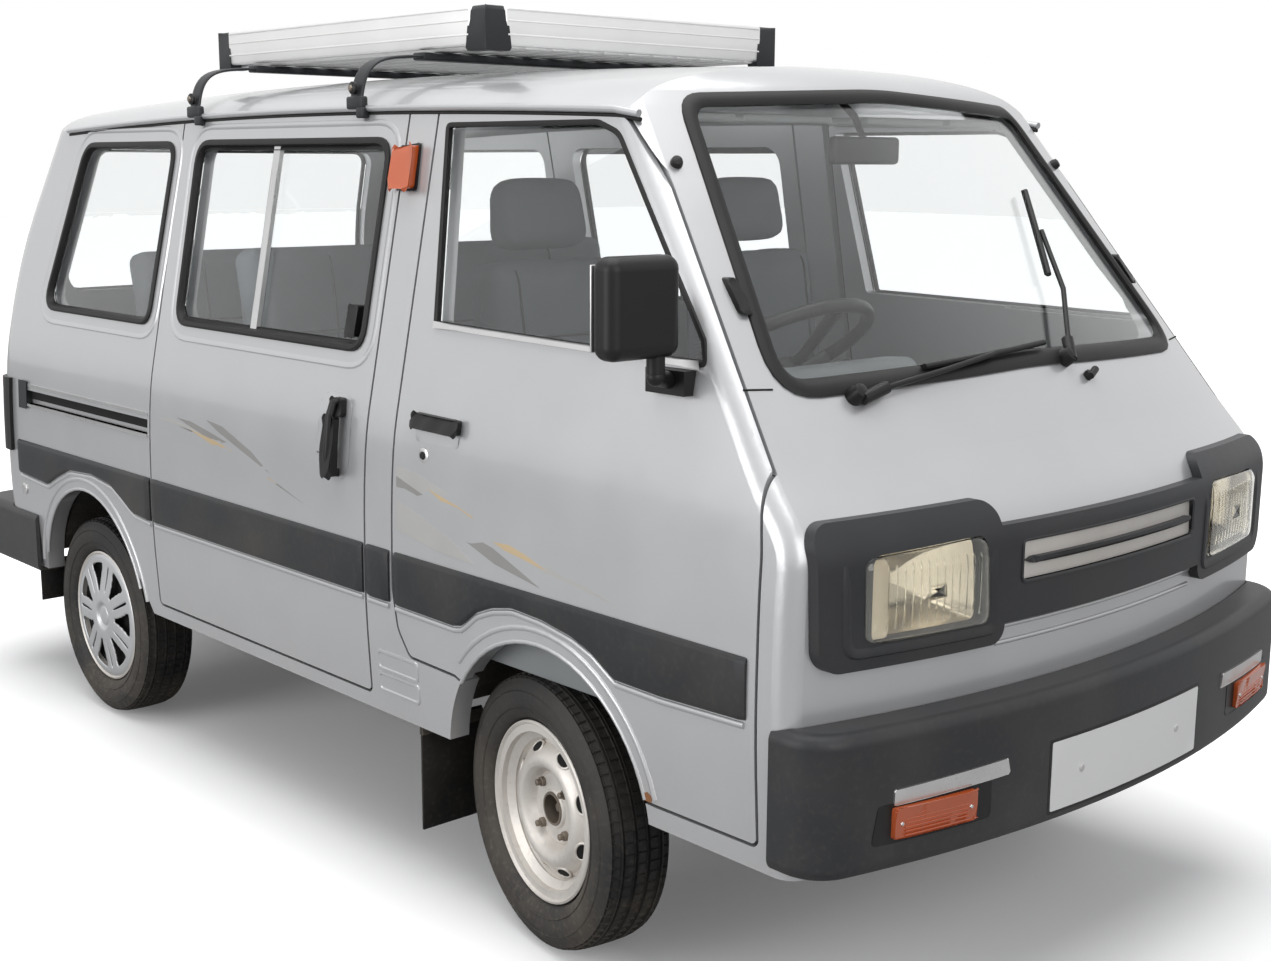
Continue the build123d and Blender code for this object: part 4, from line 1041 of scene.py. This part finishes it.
def rack():
    z0, z1 = RACK_Z
    ribs = ((z0 + 28, z0 + 32), (z1 - 30, z1 - 27), (z1 - 8, z1 - 4))
    for name, side in SIDES:
        x0, x1 = sided(side, RACK_HALF - 20, RACK_HALF)
        block("rack_rail_" + name, (x0, RACK_FRONT + 50, z0 + 8), (x1, RACK_REAR - 50, z1), ROOT, ALUMINIUM,
              bevel=5)
        x0, x1 = sided(side, RACK_HALF - 3, RACK_HALF + 1.5)
        for i, (a, b) in enumerate(ribs):
            block("rack_rib_%d_%s" % (i, name), (x0, RACK_FRONT + 56, a), (x1, RACK_REAR - 56, b), ROOT,
                  ALUMINIUM, bevel=1)
    for end, y in (("front", RACK_FRONT), ("rear", RACK_REAR - 20)):
        block("rack_rail_" + end, (-RACK_HALF + 50, y, z0 + 8), (RACK_HALF - 50, y + 20, z1), ROOT, ALUMINIUM,
              bevel=5)
        out = y if end == "front" else y + 20
        for i, (a, b) in enumerate(ribs):
            block("rack_rib_%d_%s" % (i, end), (-RACK_HALF + 56, out - 1.5, a),
                  (RACK_HALF - 56, out + 1.5, b), ROOT, ALUMINIUM, bevel=1)
        for name, side in SIDES:
            bm = bmesh.new()
            levels = ((z0 - 2, 3), (z0 + 4, 0), (z1 - 10, 5), (z1 - 2, 9), (z1, 13))
            loops = [[at(px, py, z) for px, py in corner_points(y, end, side, shrink)] for z, shrink in levels]
            bridge_all(bm, loops, False)
            edges = [e for e in bm.edges if e.is_boundary]
            bmesh.ops.holes_fill(bm, edges=edges)
            finish_piece("rack_corner_%s_%s" % (end, name), bm, ROOT, MOULDING)
    pitch = (2 * RACK_HALF - 60) / RACK_SLATS
    for i in range(RACK_SLATS):
        x = -RACK_HALF + 30 + pitch * (i + 0.5)
        slat = block("rack_slat_%d" % i, (x - 24, RACK_FRONT + 12, z0 + 4), (x + 24, RACK_REAR - 12, z0 + 14),
                     ROOT, ALUMINIUM, bevel=3)
        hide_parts("roof_rack")
    for i, y in enumerate(RACK_FEET):
        block("rack_bar_%d" % i, (-RACK_HALF - 10, y - 20, z0 - 14), (RACK_HALF + 10, y + 20, z0 + 2), ROOT,
              MOULDING, bevel=4)
        for name, side in SIDES:
            rack_foot(i, y, name, side)


def corner_points(y, end, side, shrink):
    """Corner cap seen from above: an elbow that wraps the two rails, drawn in by shrink."""
    long, wide = 66, 30
    x = side * (RACK_HALF + 3)
    outer_y, toward = (y - 3, 1) if end == "front" else (y + 23, -1)
    elbow = [(0, 14), (4, 4), (14, 0), (long, 0), (long, wide), (wide, wide), (wide, long), (0, long)]
    points = []
    for a, b in elbow:
        a = min(max(a, shrink), long - shrink) if a in (0, long) else a
        b = min(max(b, shrink), long - shrink) if b in (0, long) else b
        points.append((x - side * a, outer_y + toward * b))
    return points


def rack_foot(i, y, name, side):
    """Black strap bent from under the rail down to the gutter, with its clamp, bolt and hook."""
    z0 = RACK_Z[0]
    foot_z = gutter_z(y)
    route = [(418, z0 - 6), (500, z0 - 10), (548, z0 - 22), (572, z0 - 52), (580, foot_z + 30),
             (584, foot_z + 6)]
    bm = bmesh.new()
    rows = []
    for x, z in route:
        rows.append([bm.verts.new(at(side * x, y + k * 11, z)) for k in (-2, -1, 0, 1, 2)])
    for a, b in zip(rows, rows[1:]):
        pairs = list(zip(a, a[1:])) + list(zip(b, b[1:]))
        edges = [bm.edges.get(pair) or bm.edges.new(pair) for pair in pairs]
        bmesh.ops.bridge_loops(bm, edges=edges)
    finish_piece("rack_strap_%d_%s" % (i, name), bm, ROOT, MOULDING,
                 modifiers=[("SOLIDIFY", {"thickness": 0.007, "offset": 0}), subdivided(2)])
    x0, x1 = sided(side, 574, 590)
    block("rack_clamp_%d_%s" % (i, name), (x0, y - 30, foot_z - 4), (x1, y + 30, foot_z + 22), ROOT, MOULDING,
          bevel=5)
    x0, x1 = sided(side, 574, 592)
    block("rack_hook_%d_%s" % (i, name), (x0, y - 34, foot_z - 22), (x1, y - 8, foot_z), ROOT, MOULDING,
          bevel=4)
    bolt = at(side * 590, y, foot_z + 38)
    dome("rack_bolt_%d_%s" % (i, name), bolt, (side, 0, 0), 13, 6, ROOT, BLACK, steps=24)
    dome("rack_bolt_head_%d_%s" % (i, name), bolt + Vector((side * 0.004, 0, 0)), (side, 0, 0), 7, 6, ROOT,
         NUT_STEEL, steps=6)


# ---------------------------------------------------------------- cabin
CLOTH_FRAMES = 12
SEAM_STEPS = 24
PAD_ROUNDING = 0.032
PAD_SWELL = 0.0099      # how far the cover may move out
PAD_VOXEL = 0.012       # also the room left for the cover to swell


def pad(name, low, high, lean=0.0, shape=None):
    """Upholstered block, blown up a little by a cloth simulation."""
    bm = bmesh.new()
    bmesh.ops.create_cube(bm, size=1)
    a, b = at(*low), at(*high)
    size = b - a
    bmesh.ops.scale(bm, vec=[abs(s) - PAD_VOXEL for s in size], verts=bm.verts)
    bmesh.ops.bevel(bm, geom=bm.edges[:], offset=PAD_ROUNDING, segments=4, affect="EDGES", profile=0.5,
                    material=-1)
    if shape:
        shape(bm, size)
    bmesh.ops.rotate(bm, cent=(0, 0, 0), matrix=Matrix.Rotation(math.radians(lean), 3, "X"), verts=bm.verts)
    bmesh.ops.translate(bm, vec=(a + b) / 2, verts=bm.verts)
    mesh = bpy.data.meshes.new(name)
    bm.to_mesh(mesh)
    bm.free()
    piece = bpy.data.objects.new(name, mesh)
    bpy.context.scene.collection.objects.link(piece)
    remesh = piece.modifiers.new("Remesh", "REMESH")
    remesh.mode = "VOXEL"
    remesh.voxel_size = PAD_VOXEL
    bake(piece)
    rest = [v.co.copy() for v in piece.data.vertices]
    cloth = piece.modifiers.new("Cloth", "CLOTH")
    cloth.settings.use_pressure = True
    cloth.settings.uniform_pressure_force = 4.0
    cloth.settings.effector_weights.gravity = 0
    cloth.settings.quality = 4
    for step in range(1, CLOTH_FRAMES + 1):
        bpy.context.scene.frame_set(step)
    bake(piece)
    bpy.context.scene.frame_set(1)
    for v, was in zip(piece.data.vertices, rest):
        move = v.co - was
        if move.length > PAD_SWELL:
            v.co = was + move * (PAD_SWELL / move.length)
    bm = bmesh.new()
    bm.from_mesh(piece.data)
    bmesh.ops.smooth_vert(bm, verts=bm.verts, factor=0.5, use_axis_x=True, use_axis_y=True, use_axis_z=True)
    bm.to_mesh(piece.data)
    bm.free()
    piece.data.polygons.foreach_set("use_smooth", [True] * len(piece.data.polygons))
    piece.data.materials.append(CLOTH)
    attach(piece, ROOT)
    return piece


def bake(piece):
    """Applies what the modifiers make."""
    graph = bpy.context.evaluated_depsgraph_get()
    mesh = bpy.data.meshes.new_from_object(piece.evaluated_get(graph))
    piece.modifiers.clear()
    piece.data = mesh


def seam(name, points):
    """Piping laid on a padded piece, where its cover was met at more than two points."""
    if len(points) > 2:
        tube(name, points, 2.6, ROOT, PIPING)


def cover_line(piece, start, end, toward):
    """Points where rays toward a padded piece meet its cover, from start to end."""
    points = []
    for k in range(SEAM_STEPS + 1):
        origin = start.lerp(end, k / SEAM_STEPS)
        hit, place, normal, _ = piece.ray_cast(origin, toward)
        if hit:
            points.append(place + normal * 0.0008)
    return points


def panel_seams(piece, name, x0, x1, low, high, toward):
    """Two upright seams and a cross seam over the face of a cushion or a back."""
    a, b = Vector(low), Vector(high)
    for i, share in enumerate((0.2, 0.8)):
        x = (x0 + (x1 - x0) * share) * MM
        line = cover_line(piece, Vector((x, a.y, a.z)), Vector((x, b.y, b.z)), toward)
        seam("%s_seam_%d" % (name, i), line)
    middle = a.lerp(b, 0.62)
    line = cover_line(piece, Vector(((x0 + 30) * MM, middle.y, middle.z)),
                      Vector(((x1 - 30) * MM, middle.y, middle.z)), toward)
    seam(name + "_seam_cross", line)


def narrower_top(bm, size, share=0.8):
    for v in bm.verts:
        up = (v.co.z / size.z) + 0.5
        v.co.x *= 1 - (1 - share) * max(0.0, up - 0.3) / 0.7


def seats():
    cushions = []
    for name, side in SIDES:
        x = side * 300
        cushions.append(pad("front_cushion_" + name, (x - 222, -150, 700), (x + 222, 322, 822), lean=-4))
        cushions.append(pad("front_back_" + name, (x - 212, 345, 800), (x + 212, 470, 1262), lean=-9,
                            shape=narrower_top))
        panel_seams(cushions[-2], "front_cushion_" + name, x - 222, x + 222, at(x, -110, 950),
                    at(x, 280, 950), Vector((0, 0, -1)))
        panel_seams(cushions[-1], "front_back_" + name, x - 200, x + 200, at(x, 200, 880), at(x, 200, 1230),
                    Vector((0, 1, 0)))
        cushions.append(pad("front_headrest_" + name, (x - 118, 408, 1262), (x + 118, 508, 1416), lean=-8,
                            shape=lambda bm, size: narrower_top(bm, size, 0.86)))
    for piece in cushions:
        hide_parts("front_seats")
    rows = (("middle", 700, 1130, 560, 700, 1265, "middle_bench"),
            ("rear", 1400, 1850, 480, 690, 1225, "rear_bench"))
    for row, front, back_y, half, seat_z, top_z, node_name in rows:
        base = pad(row + "_seat_base", (-half + 6, front + 6, seat_z - 116),
                   (half - 6, back_y - 14, seat_z + 14), lean=-2)
        back = pad(row + "_seat_back", (-half + 6, back_y + 32, seat_z - 54),
                   (half - 6, back_y + 146, top_z - 4), lean=-8)
        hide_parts(node_name)
        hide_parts(node_name)
        panel_seams(back, row + "_back", -half, half, at(0, back_y - 150, seat_z + 60),
                    at(0, back_y - 150, top_z - 40), Vector((0, 1, 0)))
        panel_seams(base, row + "_base", -half, half, at(0, front + 40, 950), at(0, back_y - 60, 950),
                    Vector((0, 0, -1)))
        for x in (-half + 60, half - 60):
            for y in (front + 70, back_y + 30):
                block("%s_leg_%d_%d" % (row, x, y), (x - 14, y - 14, 406), (x + 14, y + 14, seat_z - 100),
                      ROOT, CHASSIS, bevel=3)


def steering():
    """Round wheel with two spokes and a padded hub."""
    joint = next(j for j in frame["joints"] if j["name"] == "steering_wheel_turn")
    axis = Vector(joint["axis"])
    centre = Vector(joint["pos_m"])
    spin = Vector((0, 0, 1)).rotation_difference(axis).to_matrix()

    def seat(p):
        return centre + spin @ (Vector(p) * MM)

    loop = [seat((184 * math.cos(math.tau * k / 64), 184 * math.sin(math.tau * k / 64),
                  0)) for k in range(64)]
    tube("steering_rim", loop, 12.5, "steering_wheel", BLACK, closed=True, sides=4)
    for i, a in enumerate((10, 170, 270)):
        t = math.radians(a)
        tube("steering_spoke_%d" % i, [seat((r * math.cos(t), r * math.sin(t), h)) for r,
                                       h in ((20, -38), (70, -34), (130, -16), (180, -2))], 11,
                                       "steering_wheel", BLACK, sides=3)
    bm = bmesh.new()
    lathe(bm, [(-60, 40), (-40, 46), (-26, 44), (-20, 34), (-18, 0.02)], 40)
    turn = Vector((1, 0, 0)).rotation_difference(axis).to_matrix()
    bmesh.ops.rotate(bm, cent=(0, 0, 0), matrix=turn, verts=bm.verts)
    bmesh.ops.translate(bm, vec=centre, verts=bm.verts)
    hub = finish_piece("steering_hub", bm, "steering_wheel", BLACK)
    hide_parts("steering_wheel")


def cabin():
    block("cabin_mirror", (-95, -166, 1440), (95, -142, 1492), ROOT, BLACK, slot="cabin_plastic", bevel=9)
    tube("cabin_mirror_stem", [at(0, -150, 1490), at(0, -128, 1530), at(0, -96, 1556)], 7, ROOT, BLACK,
         slot="cabin_plastic")
    for name, side in SIDES:
        door = PART_OF_DOOR[name]
        x = side * (side_x(800) - 52)
        x0, x1 = sorted((x, x + side * 5))
        block("door_card_" + name, (x0, -430, 520), (x1, 372, 1090), door, INNER, bevel=2)
        x0, x1 = sorted((x, x - side * 34))
        block("door_armrest_" + name, (x0, -120, 800), (x1, 300, 850), door, DASH, bevel=10)
        for i, xs in enumerate((430, 170)):
            block("sun_visor_%d_%s" % (i, name), (side * xs - 120, -118, 1516), (side * xs + 120, -12, 1530),
                  ROOT, LINER, bevel=5)
    block("roof_lining", (-440, -30, 1574), (440, 1950, 1578), ROOT, LINER, bevel=1)
    for i, x in enumerate((-395, -225, 225, 395)):
        block("dash_vent_%d" % i, (x - 60, -336, 1000), (x + 60, -322, 1036), ROOT, BLACK,
              slot="cabin_plastic", bevel=4)
    for i, x in enumerate((-380, -240)):
        dome("dial_%d" % i, at(x, -306, 1062), (0, 0.86, 0.5), 46, 3, ROOT, BLACK, slot="cabin_plastic",
             steps=32)


# ---------------------------------------------------------------- tail
def tail():
    """Tailgate handle, plate and lock, the lenses of the tail lamps and the caps on the rear bumper."""
    block("tailgate_handle", (-80, 2402, 742), (80, 2432, 776), "tailgate", BLACK, bevel=8)
    block("tailgate_plate", (-240, 2408, 800), (240, 2416, 920), "tailgate", WHITE, bevel=2)
    dome("tailgate_lock", at(0, 2408, 700), (0, 1, 0), 14, 6, "tailgate", BRIGHT)
    lenses = (("tail", 606, 684, 668, 856, 11, 3, RED), ("reverse", 622, 668, 676, 716, 14, 2, CLEAR_LENS),
              ("turn", 622, 668, 796, 846, 14, 2, AMBER))
    for name, side in SIDES:
        for lens, near, far, z0, z1, lift, bevel, material in lenses:
            outline = rect(side * near, z0, side * far, z1)
            patch("%s_lens_%s" % (lens, name), outline, on_tail, lift, 2, ROOT, material, cell=20,
                  bevel=bevel)
        x0, x1 = sided(side, 470, 560)
        block("rear_bumper_cap_" + name, (x0, 2556, 380), (x1, 2571, 460), ROOT, BLACK, bevel=4)


# ---------------------------------------------------------------- stage
PAINTED_SHADOW_SIZE = (0.55, 1.50, 0.0)       # half width and half length of the painted shadow under the van, where the floor glows less


def stage():
    """White floor with a painted shadow under the van, where it glows less, pale studio light and three soft
    lamps.
    """
    floor_bm = bmesh.new()
    bmesh.ops.create_grid(floor_bm, x_segments=1, y_segments=1, size=40)
    mesh = bpy.data.meshes.new("floor")
    floor_bm.to_mesh(mesh)
    floor_bm.free()
    floor = bpy.data.objects.new("floor", mesh)
    bpy.context.scene.collection.objects.link(floor)
    material = bpy.data.materials.new("StageFloor")
    material.use_nodes = True
    tree = material.node_tree
    tree.nodes.clear()
    out = node(tree, "ShaderNodeOutputMaterial")
    diffuse = node(tree, "ShaderNodeBsdfDiffuse")
    diffuse.inputs["Color"].default_value = (0.86, 0.86, 0.86, 1)
    glow = node(tree, "ShaderNodeEmission")
    glow.inputs["Color"].default_value = (1, 1, 1, 1)
    both = node(tree, "ShaderNodeAddShader")
    path = node(tree, "ShaderNodeLightPath")
    pick = node(tree, "ShaderNodeMixShader")
    seen = math_node(tree, "MAXIMUM", path.outputs["Is Camera Ray"], path.outputs["Is Transmission Ray"])
    seen = math_node(tree, "MAXIMUM", seen, math_node(tree, "MULTIPLY", path.outputs["Is Glossy Ray"], 0.25))
    place = node(tree, "ShaderNodeNewGeometry")
    spot = place.outputs["Position"]
    for operation, value in (("ABSOLUTE", None), ("SUBTRACT", PAINTED_SHADOW_SIZE), ("MAXIMUM", (0, 0, 0)),
                             ("LENGTH", None)):
        step = node(tree, "ShaderNodeVectorMath", operation=operation)
        tree.links.new(spot, step.inputs[0])
        if value:
            step.inputs[1].default_value = value
        spot = step.outputs["Value" if operation == "LENGTH" else 0]
    # The glow rises away from the van's footprint, leaving a painted shadow under the van.
    far = math_node(tree, "MULTIPLY", spot, 1.1, clamp=True)
    tree.links.new(math_node(tree, "ADD", math_node(tree, "MULTIPLY", far, 0.72), 0.08),
                   glow.inputs["Strength"])
    bounce = node(tree, "ShaderNodeBsdfDiffuse")
    bounce.inputs["Color"].default_value = (0.20, 0.20, 0.20, 1)
    tree.links.new(seen, pick.inputs[0])
    tree.links.new(diffuse.outputs[0], both.inputs[0])
    tree.links.new(glow.outputs[0], both.inputs[1])
    tree.links.new(bounce.outputs[0], pick.inputs[1])
    tree.links.new(both.outputs[0], pick.inputs[2])
    tree.links.new(pick.outputs[0], out.inputs["Surface"])
    mesh.materials.append(material)

    world = bpy.data.worlds.new("Studio")
    bpy.context.scene.world = world
    world.use_nodes = True
    tree = world.node_tree
    back = tree.nodes["Background"]
    path = node(tree, "ShaderNodeLightPath")
    sight = math_node(tree, "MAXIMUM", path.outputs["Is Camera Ray"], path.outputs["Is Transmission Ray"])
    sight = math_node(tree, "MAXIMUM", sight, path.outputs["Is Glossy Ray"])
    tree.links.new(mix_colour(tree, sight, (0.74, 0.75, 0.77, 1), (1, 1, 1, 1)), back.inputs["Color"])
    strength = math_node(tree, "ADD", math_node(tree, "MULTIPLY", sight, 0.45), 0.55)
    tree.links.new(strength, back.inputs["Strength"])

    def lamp(name, place, target, size, power):
        data = bpy.data.lights.new(name, "AREA")
        data.energy = power
        data.size = size
        item = bpy.data.objects.new(name, data)
        item.location = place
        item.rotation_mode = "QUATERNION"
        item.rotation_quaternion = (Vector(target) - Vector(place)).to_track_quat("-Z", "Y")
        bpy.context.scene.collection.objects.link(item)

    lamp("overhead", (-0.6, -0.4, 6.0), (0, 0, 0.8), 6.0, 290)
    lamp("front_fill", (-2.0, -6.5, 3.0), (0, -0.6, 0.8), 4.0, 110)
    lamp("side_fill", (-6.5, 0.5, 2.0), (-0.4, 0.2, 0.6), 4.0, 175)


CAMERA = {"azimuth": -42.368, "elevation": 10.732, "roll": 0.232, "place": (-2.4983, -3.1417, 1.4403),
          "focal": 1668.4, "width": 1271}


def camera():
    a, e, r = (math.radians(CAMERA[k]) for k in ("azimuth", "elevation", "roll"))
    back = Vector((math.sin(a) * math.cos(e), -math.cos(a) * math.cos(e), math.sin(e)))
    right = (-back).cross(Vector((0, 0, 1))).normalized()
    up = right.cross(-back)
    rolled = right * math.cos(r) + up * math.sin(r)
    up = -right * math.sin(r) + up * math.cos(r)
    turn = Matrix((rolled, up, back)).transposed()
    data = bpy.data.cameras.new("View")
    data.sensor_width = 36
    data.lens = CAMERA["focal"] * 36 / CAMERA["width"]
    data.clip_start, data.clip_end = 0.05, 200
    item = bpy.data.objects.new("View", data)
    item.matrix_world = Matrix.Translation(Vector(CAMERA["place"])) @ turn.to_4x4()
    bpy.context.scene.collection.objects.link(item)
    bpy.context.scene.camera = item
    bpy.context.scene.view_settings.view_transform = "Standard"


# ---------------------------------------------------------------- the van
finish_cad_nodes()
window_seals()
gutters()
side_trim()
shut_lines()
handles()
mirrors()
headlights()
bezels()
grille()
nose_details()
bumper_fittings()
screen_pillars()
wipers()
wheels()
arch_liners()
rack()
seats()
steering()
cabin()
tail()
stage()
camera()
